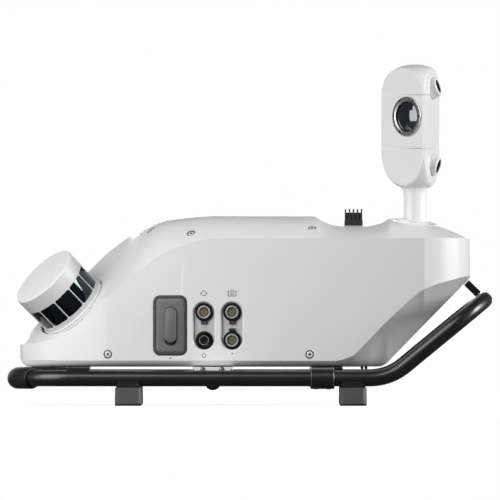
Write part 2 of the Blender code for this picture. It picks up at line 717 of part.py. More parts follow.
def make_camera(m):
    tube = washer(MAST_BORE, MAST_R, 0.2210, HEAD_Z[0] - GAP)
    clamp = washer(MAST_R + GAP, 0.0240, 0.2215, 0.2295)
    place = Matrix.Translation((MAST_X, 0.0, 0.0))
    finish_mesh("mast_tube", turned(tube, 24, ring=True), m["white"], place)
    finish_mesh("mast_clamp", turned(clamp, 24, ring=True), m["alloy"], place)
    core = [(0.0, HEAD_Z[0] + 0.006), (0.0090, HEAD_Z[0] + 0.006), (0.0090, 0.4350), (0.0, 0.4350)]
    finish_mesh("camera_core", turned(core, 6), m["alloy"], place)

    low, high = HEAD_Z
    seam_low, seam_high = HEAD_SEAMS
    outer = [low, low + 0.004, low + 0.012, low + 0.024, low + 0.040, seam_low - GAP]
    rings = [head_ring(z) for z in outer]
    rings += [head_ring(z, HEAD_WALL) for z in (seam_low - GAP, low + 0.024, low + 0.012, low + 0.005)]
    bottom = finish_mesh("camera_shell_bottom", loft(rings), m["white"])
    middle = [head_ring(z) for z in (seam_low + GAP, seam_high - GAP)]
    middle += [head_ring(z, HEAD_WALL) for z in (seam_high - GAP, seam_low + GAP)]
    middle = finish_mesh("camera_shell_middle", loft(middle, closed=True), m["white"])
    levels = [high - 0.0004, high - 0.002, high - 0.006, high - 0.014, high - 0.026, seam_high + GAP]
    rings = [head_ring(z) for z in levels]
    rings += [head_ring(z, HEAD_WALL) for z in (seam_high + GAP, high - 0.026, high - 0.014, high - 0.0065)]
    top = finish_mesh("camera_shell_top", loft(rings), m["white"])

    for name, bearing in (("near", FACES[0]), ("far", FACES[2])):
        frame = face_frame(bearing, SIDE_LENS_Z) @ Matrix.Translation((0.0, -SIDE_LENS_SHIFT, 0.0))
        hole = turned(disc(SIDE_GLASS_R + 0.0004, 0.012, 0.06), 24)
        boolean(middle, finish_mesh(f"cutter_lens_{name}", hole, None, frame))
        ring = [
            (SIDE_RING_R, FACE_AT + GAP), (SIDE_RING_R, FACE_AT + 0.0018), (SIDE_GLASS_R + 0.0012, FACE_AT + 0.0024),
            (SIDE_GLASS_R + 0.0003, FACE_AT + 0.0012), (SIDE_GLASS_R + 0.0003, FACE_AT + GAP),
        ]
        finish_mesh(f"side_lens_ring_{name}", turned(ring, 28, ring=True), m["steel"], frame)
        glass = [(0.0, 0.0150), (SIDE_GLASS_R, 0.0150), (SIDE_GLASS_R, FACE_AT), (0.0150, FACE_AT + 0.0030)]
        glass += [(0.0080, FACE_AT + 0.0046), (0.0, FACE_AT + 0.0052)]
        finish_mesh(f"side_lens_glass_{name}", turned(glass, 28), m["glass"], frame)
    for name, shell, (height, tilt) in zip(("upper", "lower"), (top, bottom), SMALL_LENS):
        frame = face_frame(FACES[1], height, tilt)
        for cut in (shell, middle):
            hole = turned(disc(SMALL_HOOD_R + 0.0004, 0.014, 0.06), 20)
            boolean(cut, finish_mesh(f"cutter_small_{name}", hole, None, frame))
        hood = [
            (SMALL_HOOD_R, 0.0180), (SMALL_HOOD_R, 0.0330), (0.0118, 0.0335), (SMALL_GLASS_R + GAP, 0.0335),
            (SMALL_GLASS_R + GAP, 0.0180),
        ]
        finish_mesh(f"small_lens_hood_{name}", turned(hood, 20, ring=True), m["white"], frame)
        glass = [(0.0, 0.0185), (SMALL_GLASS_R, 0.0185), (SMALL_GLASS_R, 0.0305), (0.0050, 0.0323), (0.0, 0.0328)]
        finish_mesh(f"small_lens_glass_{name}", turned(glass, 18), m["glass"], frame)


# ---------------------------------------------------------------- tube frame, brackets and feet

def make_frame(m):
    split = COUPLING_MIDDLE
    front = [
        (split - GAP, -RAIL_Y, RAIL_Z), (LOOP_X, -RAIL_Y, RAIL_Z),
        (LOOP_X, RAIL_Y, RAIL_Z), (split - GAP, RAIL_Y, RAIL_Z),
    ]
    rear_x, rear_z = REAR_BAR
    rear = [
        (split + GAP, -RAIL_Y, RAIL_Z), (SLOPE_X, -RAIL_Y, RAIL_Z), (rear_x, -RAIL_Y, rear_z),
        (rear_x, RAIL_Y, rear_z), (SLOPE_X, RAIL_Y, RAIL_Z), (split + GAP, RAIL_Y, RAIL_Z),
    ]
    front_path = rounded_path(front, [LOOP_BEND] * 2)
    rear_path = rounded_path(rear, [SLOPE_BEND, REAR_BEND, REAR_BEND, SLOPE_BEND])
    finish_mesh("frame_tube_front", swept(front_path, TUBE_R), m["black"])
    finish_mesh("frame_tube_rear", swept(rear_path, TUBE_R), m["black"])
    first = 1 + BEND_STEPS // 2
    sleeve = swept(front_path, SLEEVE_R, TUBE_R + GAP, slice(first, len(front_path) - first))
    finish_mesh("bumper_sleeve", sleeve, m["rubber"])

    plate_z = (0.0472, BOTTOM_Z - GAP)
    for name, side in (("near", -1.0), ("far", 1.0)):
        along_x = axis_frame((0.0, side * RAIL_Y, RAIL_Z), (1.0, 0.0, 0.0), (0.0, 0.0, 1.0))
        ring = washer(TUBE_R + 2 * GAP, SLEEVE_R, *COUPLING)
        coupling = finish_mesh(f"tube_coupling_{name}", turned(ring, 20, ring=True), m["black"], along_x)
        ys = sorted((side * 0.060, side * RAIL_Y))
        plate = box_mesh((COUPLING[0] + 0.0004, ys[0], plate_z[0]), (0.1220, ys[1], plate_z[1]))
        boolean(coupling, finish_mesh(f"joined_plate_{name}", plate, None), "UNION")

    tongue, arm = 0.0300, RAIL_Y
    outline = [(-0.2890, -tongue), (-0.2620, -tongue), (-0.2400, -arm), (-0.2110, -arm)]
    outline += [(x, -y) for x, y in reversed(outline)]
    finish_mesh("nose_bracket", plan_plate(outline, *plate_z), m["black"])

    bar_end = 0.1268
    bar = box_mesh((-0.0766, -bar_end, 0.0260), (-0.0224, bar_end, plate_z[1]), 0.0010)
    finish_mesh("centre_bracket", bar, m["white"])
    for name, side in (("near", -1.0), ("far", 1.0)):
        knob_at = (-0.0488, side * (bar_end + 0.0004), 0.0317)
        frame = axis_frame(knob_at, (0.0, side, 0.0), (0.0, 0.0, 1.0))
        knob = [(0.0, 0.0), (0.0115, 0.0), (0.0115, 0.0080), (0.0100, 0.0098), (0.0, 0.0098)]
        carry(finish_mesh(f"bracket_knob_{name}", turned(knob, 20), m["grey"]), frame)

    normal = Vector((0.7140, 0.0, -0.7001))
    origin = Vector((0.2850, 0.0, 0.1622)) + normal * 0.0008
    frame = axis_frame(origin, normal, (normal.z * -1.0, 0.0, normal.x))
    strut = finish_mesh("rear_strut", box_mesh((-0.0045, -0.0260, 0.0004), (0.0045, 0.0260, 0.0330)), m["black"], frame)
    across = axis_frame((rear_x, 0.0, rear_z), (0.0, 1.0, 0.0), (0.0, 0.0, 1.0))
    boolean(strut, finish_mesh("cutter_strut", turned(disc(TUBE_R + 2 * GAP, -0.05, 0.05), 24), None, across))
    beyond = axis_frame((rear_x, 0.0, rear_z), normal, (0.0, 1.0, 0.0))
    far_side = box_mesh((-0.06, -0.03, 0.0), (0.06, 0.03, 0.04))
    boolean(strut, finish_mesh("cutter_strut_end", far_side, None, beyond))


def make_feet(m):
    for end, x in zip(("front", "rear"), FOOT_X):
        for name, side in (("near", -1.0), ("far", 1.0)):
            place = Matrix.Translation((x, side * RAIL_Y, 0.0))
            half_x, half_y = FOOT_LENGTH / 2.0, FOOT_DEPTH / 2.0
            rings = []
            for z, inset in ((0.0, 0.0), (FOOT_TOP, 0.0005)):
                outline = rounded_outline(2 * (half_x - inset), 2 * (half_y - inset), 0.0035, 1)
                rings.append([(px, py, z) for px, py in outline])
            finish_mesh(f"foot_block_{end}_{name}", loft(rings), m["grey"], place)
            rings = []
            for z, half in ((FOOT_TOP + GAP, 0.0160), (0.0290, 0.0160), (CLAMP_TOP, 0.0120)):
                rings.append([(-half, -0.014, z), (half, -0.014, z), (half, 0.014, z), (-half, 0.014, z)])
            clamp = finish_mesh(f"foot_clamp_{end}_{name}", loft(rings), m["black"], place)
            groove = turned(disc(TUBE_R + 2 * GAP, -0.03, 0.03), 20)
            lie = axis_frame((x, side * RAIL_Y, RAIL_Z), (1.0, 0.0, 0.0), (0.0, 0.0, 1.0))
            boolean(clamp, finish_mesh(f"cutter_groove_{end}_{name}", groove, None, lie))


def main():
    for old in list(bpy.data.objects):
        bpy.data.objects.remove(old, do_unlink=True)
    m = make_materials()
    make_housing(m)
    make_insides(m)
    make_heat_sink(m)
    make_fittings(m)
    make_scan_head(m)
    make_camera(m)
    make_frame(m)
    make_feet(m)


main()
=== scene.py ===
"""The looks of the roof-mounted mobile laser scanner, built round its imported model.

Metres, in the row's frame.
"""

import json
from math import asin, atan, atan2, ceil, cos, dist, hypot, pi, radians, sin, sqrt, tan

import bmesh
import bpy
import numpy as np
from mathutils import Matrix, Vector

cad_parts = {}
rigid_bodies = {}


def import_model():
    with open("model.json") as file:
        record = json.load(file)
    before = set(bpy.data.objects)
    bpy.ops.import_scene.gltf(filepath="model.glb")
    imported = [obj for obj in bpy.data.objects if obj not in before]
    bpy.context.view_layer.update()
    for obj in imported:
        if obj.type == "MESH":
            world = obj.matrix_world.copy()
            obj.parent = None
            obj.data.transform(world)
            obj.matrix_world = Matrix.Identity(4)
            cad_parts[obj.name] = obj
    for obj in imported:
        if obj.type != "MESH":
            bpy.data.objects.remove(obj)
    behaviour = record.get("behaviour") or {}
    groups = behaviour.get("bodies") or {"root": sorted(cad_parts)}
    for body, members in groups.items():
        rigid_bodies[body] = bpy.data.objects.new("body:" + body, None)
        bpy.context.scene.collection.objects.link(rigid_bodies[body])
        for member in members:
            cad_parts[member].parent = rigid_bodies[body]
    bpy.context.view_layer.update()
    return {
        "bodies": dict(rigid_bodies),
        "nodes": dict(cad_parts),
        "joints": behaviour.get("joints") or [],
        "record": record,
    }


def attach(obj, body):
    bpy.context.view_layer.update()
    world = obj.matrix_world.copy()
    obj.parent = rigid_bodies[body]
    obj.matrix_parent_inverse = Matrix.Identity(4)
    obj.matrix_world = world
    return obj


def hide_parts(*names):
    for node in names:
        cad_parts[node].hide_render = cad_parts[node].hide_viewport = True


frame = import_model()
NODES = frame["nodes"]

GAP = 0.0003
HOUSING = "housing"
X_AXIS = (1.0, 0.0, 0.0)
Z_AXIS = (0.0, 0.0, 1.0)

# Housing, seen from the side: the ridge, the edge where the shoulder meets the wall, and the underside.
NOSE_X = -0.3036
TAIL_X = 0.293
BOTTOM_Z = 0.0508
SIDE_EDGE_Z = 0.2204
FILLET = 0.0079
RIDGE = [
    (NOSE_X, 0.0799), (-0.301, 0.0818), (-0.2798, 0.1082), (-0.2138, 0.1756), (-0.1848, 0.2033),
    (-0.1452, 0.2303), (-0.1056, 0.2449), (-0.0396, 0.2501), (0.09, 0.2501), (0.2, 0.2468),
    (0.2336, 0.2429), (0.264, 0.2336), (0.2904, 0.2218), (TAIL_X, 0.2191),
]
SHOULDER_EDGE = [
    (NOSE_X, 0.0799), (-0.2706, 0.0845), (-0.231, 0.1016), (-0.198, 0.134), (-0.1452, 0.178),
    (-0.1056, 0.2039), (-0.0462, 0.2196), (0.0000, SIDE_EDGE_Z), (0.285, SIDE_EDGE_Z), (TAIL_X, 0.2185),
]
UNDERSIDE = [
    (NOSE_X, 0.0634), (-0.301, 0.057), (-0.297, 0.053), (-0.293, 0.0513), (-0.285, BOTTOM_Z),
    (0.17, BOTTOM_Z), (0.179, 0.054), (0.188, 0.0632), (0.285, 0.1622), (0.2917, 0.169),
    (TAIL_X, 0.171),
]
LOWER_EDGE = [
    (NOSE_X, 0.07), (-0.293, 0.06), (-0.285, BOTTOM_Z + FILLET), (0.11, BOTTOM_Z + FILLET),
    (0.136, 0.066), (0.1452, 0.0752), (0.198, 0.128), (0.231, 0.1538), (0.264, 0.165),
    (TAIL_X, 0.1722),
]
# Housing, seen from above: a round nose, straight walls that open towards the back, a round tail.
NOSE_END_X = -0.178
TAIL_START_X = 0.229
NOSE_HALF_WIDTH = 0.064
TAIL_HALF_WIDTH = 0.1189
WALL_SLOPE = (TAIL_HALF_WIDTH - NOSE_HALF_WIDTH) / (TAIL_START_X - NOSE_END_X)
WALL_ANGLE = atan(WALL_SLOPE)
TAIL_POWER = 3.2
TAIL_CUT = 0.26
FACET_END_X = -0.1888
CROWN_START_X = -0.0462
CROWN_POWER = 2.2
SADDLE_X = 0.1365
SADDLE_HALF = 0.044
SADDLE_Z = 0.2374
SADDLE_RISE = 0.0093
WALL = 0.0042
SKIN = 0.0045
FLOOR = 0.004
SPLIT_Z = BOTTOM_Z + FILLET
PAN_END_X = 0.112

# Scan head: a drum whose axis leans forward, up and towards the near side.
SCAN_BASE = Vector((-0.2334, -0.003, 0.1289))
SCAN_AXIS = Vector((-0.652, -0.328, 0.681)).normalized()
DRUM_R = 0.047
BASE_R = 0.0487
SEAT_R = 0.0512
BAND_TOP = 0.0075
WINDOW_TOP = 0.04
CAP_TOP = 0.0615
WINDOWS = 11
RIB_WIDTH = 0.0013
SPINDLE_R = 0.0075

# Tube frame.
TUBE_R = 0.0105
SLEEVE_R = 0.0139
RAIL_Y = 0.1485
RAIL_Z = 0.036
LOOP_X = -0.3055
LOOP_BEND = 0.068
COUPLING = (0.0792, 0.1109)
COUPLING_MIDDLE = 0.5 * sum(COUPLING)
SLOPE_X = 0.1833
REAR_BAR = (0.3089, 0.1393)
SLOPE_BEND = 0.072
REAR_BEND = 0.06
TUBE_SIDES = 44
BEND_STEPS = 22

# Feet under the rails.
FOOT_X = (-0.1597, 0.1356)
FOOT_LENGTH = 0.0356
FOOT_DEPTH = 0.03
FOOT_TOP = 0.0238

# Wall fittings: X of the middle and heights.
CARTRIDGE_X = -0.105
CARTRIDGE_Z = (0.066, 0.1439)
CARTRIDGE_WIDTH = 0.0436
CARTRIDGE_CORNER = 0.0086
CARTRIDGE_DEPTH = 0.076
GRIP_SIZE = (0.0158, 0.0502)
GRIP_TOP_Z = 0.1294
RECESS_X = (-0.0607, -0.0238)
RECESS_WIDTH = 0.0277
RECESS_Z = (0.0733, 0.136)
UPPER_Z = 0.1228
LOWER_Z = 0.0858
PANEL_AT = 0.0046
FLANGE_R = 0.0119
SHELL_R = 0.0087
INSERT_R = 0.0053
BUTTON_R = 0.0069

# Finned heat sink in the saddle of the deck.
FINS = 5
FIN_PITCH = 0.0053
FIN_WIDTH = 0.0019
FIN_FOOT = 0.254
FIN_TOP = 0.2587
SINK_LEFT = 0.125
SINK_LENGTH = (FINS - 1) * FIN_PITCH + FIN_WIDTH
SINK_LOW = 0.23
SINK_HALF_Y = 0.022

# Camera mast and head.
MAST_X = 0.2178
MAST_R = 0.016
MAST_BORE = 0.013
HEAD_Z = (0.2863, 0.4495)
HEAD_SEAMS = (0.3386, 0.4092)
HEAD_R = 0.0462
FACE_AT = 0.024
FACES = (-45.0, 75.0, 195.0)
HEAD_EDGE = 40
HEAD_WALL = 0.0025
DOME_LOW = 0.055
DOME_LOW_POWER = 2.2
DOME_HIGH = 0.0403
DOME_HIGH_POWER = 2.15
SIDE_LENS_Z = 0.3808
SIDE_LENS_SHIFT = 0.0096
SIDE_RING_R = 0.0262
SIDE_GLASS_R = 0.0205
SMALL_LENS = ((0.4112, 17.0), (0.3234, -15.0))
SMALL_HOOD_R = 0.013
SMALL_GLASS_R = 0.0098

# Fine surfaces.
TOP_STEPS = 111
UNDER_STEPS = 33
STATION_STEP = 0.005
SCOOP_STEP = 0.0014
SCOOP_DEPTH = 0.0085
SCOOP_AT_Y = 0.036
SCOOP_RADII = (0.006, 0.034)
ROUND = 96
SHARP = 35.0
HEAD_SIDES = 216
HEAD_SHARP = 28.0
SEAM_LINE = 0.00025
NEARLY_TWO = 2.001

# Screws, seams and marks.
CAP_SCREWS = ((-0.1874, 0.0673), (0.0785, 0.0673))
CAP_SCREW_R = 0.0057
SHOULDER_SCREWS = ((-0.0779, 0.227), (0.0818, 0.2336), (-0.1307, 0.232))
SHOULDER_SCREW_R = 0.0056
TAIL_SCREWS = ((0.1478, 0.05), (0.153, 0.05))
LENS_SCREWS = 6
LENS_SCREW_AT = 0.0234
CONTACTS = 6
CONTACT_AT = 0.0034
MAST_SEAM_Z = 0.276
BRACKET_END_Y = 0.1268
BRACKET_Z = 0.0475
KNOB_X = -0.0488
KNOB_Z = 0.0317
KNOB_LOBES = 18
PRINT_DEPTHS = (-0.00012, 0.0001)

# Studio.
WORLD_LIGHT = 0.1
FLOOR_MATTE = 0.3
FLOOR_GLOW = 0.86
FLOOR_BOUNCE = 0.13
FLOOR_R = 2.4
LIGHTS = (
    ("upper_box", (-1.3, -1.9, 1.9), (0.0, 0.0, 0.15), (2.6, 1.4), 44.0),
    ("front_left_box", (-0.95, -0.88, 0.42), (-0.08, -0.08, 0.14), (1.0, 0.8), 9.0),
    ("tail_box", (2.25, -0.42, 0.8), (0.27, -0.02, 0.18), (0.8, 1.0), 48.0),
    ("right_box", (2.3, 0.3, 0.5), (0.25, 0.0, 0.3), (0.7, 0.9), 4.5),
    ("back_box", (-0.2, 2.6, 0.35), (0.0, 0.0, 0.2), (2.6, 1.0), 24.0),
)
CAMERA_AT = (0.0, -27.5, 0.2046)
CAMERA_LENS = 1500.0

# Each look's material name, colour, roughness, metal, drift of colour, drift of gloss, relief and grain.
FINISHES = {
    "white": ("white_paint", (0.79, 0.79, 0.79), 0.34, 0.0, 0.012, 0.04, 0.03, 1400.0),
    "cap": ("drum_white", (0.8, 0.8, 0.8), 0.4, 0.0, 0.01, 0.04, 0.04, 1800.0),
    "tube": ("black_tube", (0.004, 0.004, 0.0045), 0.45, 0.0, 0.15, 0.05, 0.03, 1500.0),
    "black": ("black_plastic", (0.008, 0.008, 0.009), 0.42, 0.0, 0.12, 0.06, 0.1, 2200.0),
    "foam": ("bumper_rubber", (0.007, 0.007, 0.007), 0.5, 0.0, 0.2, 0.1, 0.45, 1100.0),
    "grey": ("grey_plastic", (0.13, 0.13, 0.134), 0.5, 0.0, 0.05, 0.05, 0.2, 2600.0),
    "foot": ("foot_grey", (0.082, 0.082, 0.085), 0.46, 0.0, 0.06, 0.06, 0.22, 2400.0),
    # Near black, for black parts and for painted shade in gaps, pockets and sockets.
    "dark": ("black_and_painted_shade", (0.008, 0.008, 0.009), 0.6, 0.0, 0.1, 0.06, 0.1, 2000.0),
    "recess": ("recess_grey", (0.48, 0.48, 0.485), 0.5, 0.0, 0.03, 0.05, 0.12, 2400.0),
    "steel": ("brushed_steel", (0.58, 0.58, 0.59), 0.26, 1.0, 0.05, 0.07, 0.05, 1800.0),
    "collar": ("collar_steel", (0.34, 0.34, 0.35), 0.42, 0.6, 0.05, 0.06, 0.06, 1800.0),
    "jet": ("jet_plastic", (0.003, 0.003, 0.004), 0.28, 0.0, 0.1, 0.0, 0.08, 2200.0),
    "frame": ("frame_grey", (0.036, 0.036, 0.038), 0.44, 0.0, 0.06, 0.05, 0.18, 2600.0),
    "plate": ("plate_grey", (0.135, 0.135, 0.138), 0.46, 0.0, 0.05, 0.05, 0.18, 2600.0),
    "fin": ("fin_anodised", (0.06, 0.06, 0.062), 0.34, 0.6, 0.1, 0.06, 0.05, 1500.0),
    "gold": ("gold_contacts", (0.125, 0.115, 0.034), 0.45, 0.3, 0.1, 0.08, 0.08, 1600.0),
    "pin": ("pin_gold", (0.7, 0.55, 0.2), 0.25, 1.0, 0.05, 0.05, 0.0, 1600.0),
    "slate": ("slate_tab", (0.03, 0.038, 0.07), 0.45, 0.0, 0.08, 0.0, 0.1, 2200.0),
    "maroon": ("maroon_tab", (0.07, 0.014, 0.03), 0.45, 0.0, 0.08, 0.0, 0.1, 2200.0),
    "print": ("grey_print", (0.022, 0.022, 0.024), 0.6, 0.0, 0.05, 0.0, 0.05, 2200.0),
    "lens": ("lens_glass", (0.003, 0.005, 0.016), 0.04, 0.0, 0.25, 0.015, 0.0, 80.0),
    "film": ("window_film", (0.002, 0.003, 0.006), 0.05, 0.0, 0.0, 0.02, 0.02, 60.0),
    "alloy": ("machined_alloy", (0.5, 0.5, 0.51), 0.36, 1.0, 0.05, 0.07, 0.06, 1500.0),
    "board": ("board_green", (0.02, 0.16, 0.07), 0.45, 0.0, 0.12, 0.05, 0.1, 600.0),
    "copper": ("copper_wire", (0.6, 0.25, 0.12), 0.35, 1.0, 0.1, 0.06, 0.2, 900.0),
}
EXTRAS = {
    "white": {"Coat_Weight": 0.3, "Coat_Roughness": 0.1},
    "tube": {"Specular_IOR_Level": 0.25, "Coat_Weight": 1.0, "Coat_Roughness": 0.27},
    "steel": {"stretch": (1.0, 1.0, 0.15)},
    "jet": {"Specular_IOR_Level": 0.25},
    "lens": {"Coat_Weight": 1.0, "Coat_Roughness": 0.02, "IOR": 1.9},
    "film": {"IOR": 1.62, "Specular_Tint": (0.7, 0.88, 1.0, 1.0)},
}


def loft(rings, closed=False, start_pole=None, end_pole=None):
    """Skins rings of equally many points. It closes on itself, on poles, or on flat ends."""
    made = bmesh.new()
    rows = []
    for ring in rings:
        rows.append([made.verts.new(point) for point in ring])
    count = len(rows[0])
    pairs = list(zip(rows, rows[1:]))
    if closed:
        pairs.append((rows[-1], rows[0]))
    for first, second in pairs:
        for i in range(count):
            j = (i + 1) % count
            made.faces.new((first[i], first[j], second[j], second[i]))
    if closed:
        return made
    for row, pole in ((rows[0], start_pole), (rows[-1], end_pole)):
        if pole is None:
            made.faces.new(row)
            continue
        tip = made.verts.new(pole)
        for i in range(count):
            made.faces.new((row[i], row[(i + 1) % count], tip))
    return made


def turned(profile, sides, ring=False):
    """Turns (radius, height) points round the local Z axis. A ring's profile closes on itself."""
    angles = [2.0 * pi * i / sides for i in range(sides)]

    def circle(radius, height):
        return [(radius * cos(a), radius * sin(a), height) for a in angles]

    if ring:
        return loft([circle(r, h) for r, h in profile], closed=True)
    inner = [circle(r, h) for r, h in profile if r > 0.0]
    start = (0.0, 0.0, profile[0][1]) if profile[0][0] == 0.0 else None
    end = (0.0, 0.0, profile[-1][1]) if profile[-1][0] == 0.0 else None
    return loft(inner, start_pole=start, end_pole=end)


def rod(radius, low, high, sides):
    return turned([(0.0, high), (radius, high), (radius, low), (0.0, low)], sides)


def hoop(inner, outer, low, high, sides):
    """A plain ring with square edges."""
    return turned([(outer, high), (outer, low), (inner, low), (inner, high)], sides, ring=True)


def box_mesh(low, high, bevel=0.0):
    made = bmesh.new()
    bmesh.ops.create_cube(made, size=1.0)
    size = Vector(high) - Vector(low)
    middle = 0.5 * (Vector(high) + Vector(low))
    for vert in made.verts:
        vert.co = Vector([vert.co[k] * size[k] + middle[k] for k in range(3)])
    if bevel:
        bmesh.ops.bevel(made, geom=made.edges[:], offset=bevel, segments=1, affect="EDGES")
    return made


def rounded_outline(width, height, radius, steps=5):
    """A rectangle's outline with round corners, counter-clockwise about its middle."""
    points = []
    for quarter in range(4):
        turn = quarter * pi / 2.0
        sx = 1.0 if quarter in (0, 3) else -1.0
        sy = 1.0 if quarter in (0, 1) else -1.0
        cx = sx * (width / 2.0 - radius)
        cy = sy * (height / 2.0 - radius)
        for i in range(steps + 1):
            a = turn + i * pi / 2.0 / steps
            points.append((cx + radius * cos(a), cy + radius * sin(a)))
    return points


def wall_block(outline, near, far):
    """Extrudes an outline, given along the wall and up, from one depth behind the wall to another."""
    rings = [[(x, depth, z) for x, z in outline] for depth in (near, far)]
    return loft(rings)


def rounded_path(corners, radii, steps=BEND_STEPS):
    """A route of straight runs with an arc at each inner corner."""
    path = [Vector(corners[0])]
    for before, corner, after, radius in zip(corners, corners[1:], corners[2:], radii):
        back = (Vector(before) - Vector(corner)).normalized()
        ahead = (Vector(after) - Vector(corner)).normalized()
        half = 0.5 * back.angle(ahead)
        middle = (back + ahead).normalized() * (radius / sin(half))
        start = back * (radius / tan(half)) - middle
        end = ahead * (radius / tan(half)) - middle
        turn = start.angle(end)
        for i in range(steps + 1):
            arm = start * sin(turn * (1.0 - i / steps)) + end * sin(turn * i / steps)
            path.append(Vector(corner) + middle + arm / sin(turn))
    path.append(Vector(corners[-1]))
    return path


def swept(path, radius, bore=0.0, trim=slice(None)):
    """A round tube along a path, or the part of it that trim picks, solid or with a bore."""
    tangents = []
    for i in range(len(path)):
        ahead = path[min(i + 1, len(path) - 1)] - path[i]
        behind = path[i] - path[max(i - 1, 0)]
        tangents.append((ahead.normalized() + behind.normalized()).normalized())
    side = tangents[0].cross(Vector(Z_AXIS)).normalized()
    rings = {}
    for i, tangent in enumerate(tangents):
        if i:
            turn = tangents[i - 1].rotation_difference(tangent)
            side = (turn @ side).normalized()
        up = tangent.cross(side)
        # A mitred ring is stretched across the bend, so that the tube keeps its radius.
        behind = (path[i] - path[max(i - 1, 0)]) if i else (path[1] - path[0])
        stretch = 1.0 / max(0.5, abs(behind.normalized().dot(tangent)))
        inward = Vector((0.0, 0.0, 0.0))
        if 0 < i < len(path) - 1:
            bend = (path[i + 1] - path[i]).normalized() - (path[i] - path[i - 1]).normalized()
            inward = bend.normalized() if bend.length > 1e-6 else inward
        for r in (radius, bore):
            ring = []
            for k in range(TUBE_SIDES):
                a = 2.0 * pi * k / TUBE_SIDES
                arm = (side * cos(a) + up * sin(a)) * r
                arm += inward * arm.dot(inward) * (stretch - 1.0)
                ring.append(path[i] + arm)
            rings.setdefault(r, []).append(ring)
    outer = rings[radius][trim]
    if not bore:
        return loft(outer)
    return loft(outer + rings[bore][trim][::-1], closed=True)


def axis_frame(origin, up, towards):
    """A frame whose Z is up and whose X is as near as can be to towards."""
    z = Vector(up).normalized()
    x = (Vector(towards) - z * Vector(towards).dot(z)).normalized()
    y = z.cross(x)
    return Matrix.Translation(origin) @ Matrix((x, y, z)).transposed().to_4x4()


def offset(frame, x, y, z):
    """The same frame, moved along its own axes."""
    return frame @ Matrix.Translation((x, y, z))


def wall_frame(x, z=0.0):
    """X along the near wall, Y into the housing, Z up, with its origin on the wall's outer face."""
    out = Vector((x, -half_width(x), z))
    along = Vector((cos(WALL_ANGLE), -sin(WALL_ANGLE), 0.0))
    inward = Vector((sin(WALL_ANGLE), cos(WALL_ANGLE), 0.0))
    return Matrix.Translation(out) @ Matrix((along, inward, Vector(Z_AXIS))).transposed().to_4x4()


def fitting_frame(x, z):
    """Z into the housing, for round fittings on the near wall."""
    return wall_frame(x, z) @ Matrix.Rotation(-pi / 2.0, 4, "X")


def face_frame(bearing, height, tilt=0.0):
    """Z out of a face of the camera head, from the mast's axis at that height."""
    flat = Vector((sin(radians(bearing)), -cos(radians(bearing)), 0.0))
    out = flat * cos(radians(tilt)) + Vector((0.0, 0.0, sin(radians(tilt))))
    return axis_frame(Vector((MAST_X, 0.0, height)), out, Z_AXIS)


def smoothstep(low, high, value):
    t = min(max((value - low) / (high - low), 0.0), 1.0)
    return t * t * (3.0 - 2.0 * t)


def along(points, x):
    """A smooth curve through points, with no overshoot between them."""
    xs = [p[0] for p in points]
    zs = [p[1] for p in points]
    i = min(max(int(np.searchsorted(xs, x)) - 1, 0), len(xs) - 2)

    def secant(k):
        return (zs[k + 1] - zs[k]) / (xs[k + 1] - xs[k])

    def slope(k):
        if k in (0, len(xs) - 1):
            return secant(min(k, len(xs) - 2))
        before, after = secant(k - 1), secant(k)
        return 2.0 * before * after / (before + after) if before * after > 0.0 else 0.0

    step = xs[i + 1] - xs[i]
    t = min(max((x - xs[i]) / step, 0.0), 1.0)
    h00 = 2.0 * t**3 - 3.0 * t**2 + 1.0
    h10 = t**3 - 2.0 * t**2 + t
    h01 = -2.0 * t**3 + 3.0 * t**2
    h11 = t**3 - t**2
    return h00 * zs[i] + h10 * step * slope(i) + h01 * zs[i + 1] + h11 * step * slope(i + 1)


def half_width(x):
    straight = NOSE_HALF_WIDTH + WALL_SLOPE * (x - NOSE_END_X)
    if x < NOSE_END_X:
        t = min((NOSE_END_X - x) / (NOSE_END_X - NOSE_X), 0.9999)
        return straight * sqrt(1.0 - t * t)
    if x > TAIL_START_X:
        length = TAIL_X - TAIL_START_X
        past = x - TAIL_START_X
        t = min(past / length, 0.9999)
        eased = TAIL_HALF_WIDTH + WALL_SLOPE * past * (1.0 - 0.5 * t)
        return eased * (1.0 - TAIL_CUT * t) * (1.0 - t**TAIL_POWER) ** (1.0 / TAIL_POWER)
    return straight


def ridge(x):
    saddle = SADDLE_Z + SADDLE_RISE * abs((x - SADDLE_X) / SADDLE_HALF) ** 3
    return min(along(RIDGE, x), saddle)


def shoulder_shape(u, crowned):
    """How far up the shoulder rises at u across the section: a facet that leans, or a crown."""
    facet = 0.5 * (u + 1.0)
    crown = 1.0 - abs(u) ** CROWN_POWER
    return facet + (crown - facet) * crowned


def head_radius(z):
    """The head's round outline: an upright capsule."""
    if z < HEAD_SEAMS[0]:
        t = (HEAD_SEAMS[0] - z) / DOME_LOW
        return HEAD_R * (1.0 - min(t, 1.0) ** DOME_LOW_POWER) ** (1.0 / DOME_LOW_POWER)
    t = min(max(z - HEAD_SEAMS[1], 0.0) / DOME_HIGH, 1.0)
    return HEAD_R * (1.0 - t**DOME_HIGH_POWER) ** (1.0 / DOME_HIGH_POWER)


def head_ring(z, inset=0.0, sides=36):
    """The capsule's circle, flattened on three sides, with soft edges where they meet."""
    round_r = max(head_radius(z), 0.0005)
    ring = []
    for i in range(sides):
        bearing = 360.0 * (i + 0.5) / sides
        off = min(abs((bearing - face + 180.0) % 360.0 - 180.0) for face in FACES)
        flat_r = FACE_AT / cos(radians(off))
        r = (round_r**-HEAD_EDGE + flat_r**-HEAD_EDGE) ** (-1.0 / HEAD_EDGE) - inset
        a = radians(bearing)
        ring.append((MAST_X + r * sin(a), -r * cos(a), z))
    return ring


# ---- finishes

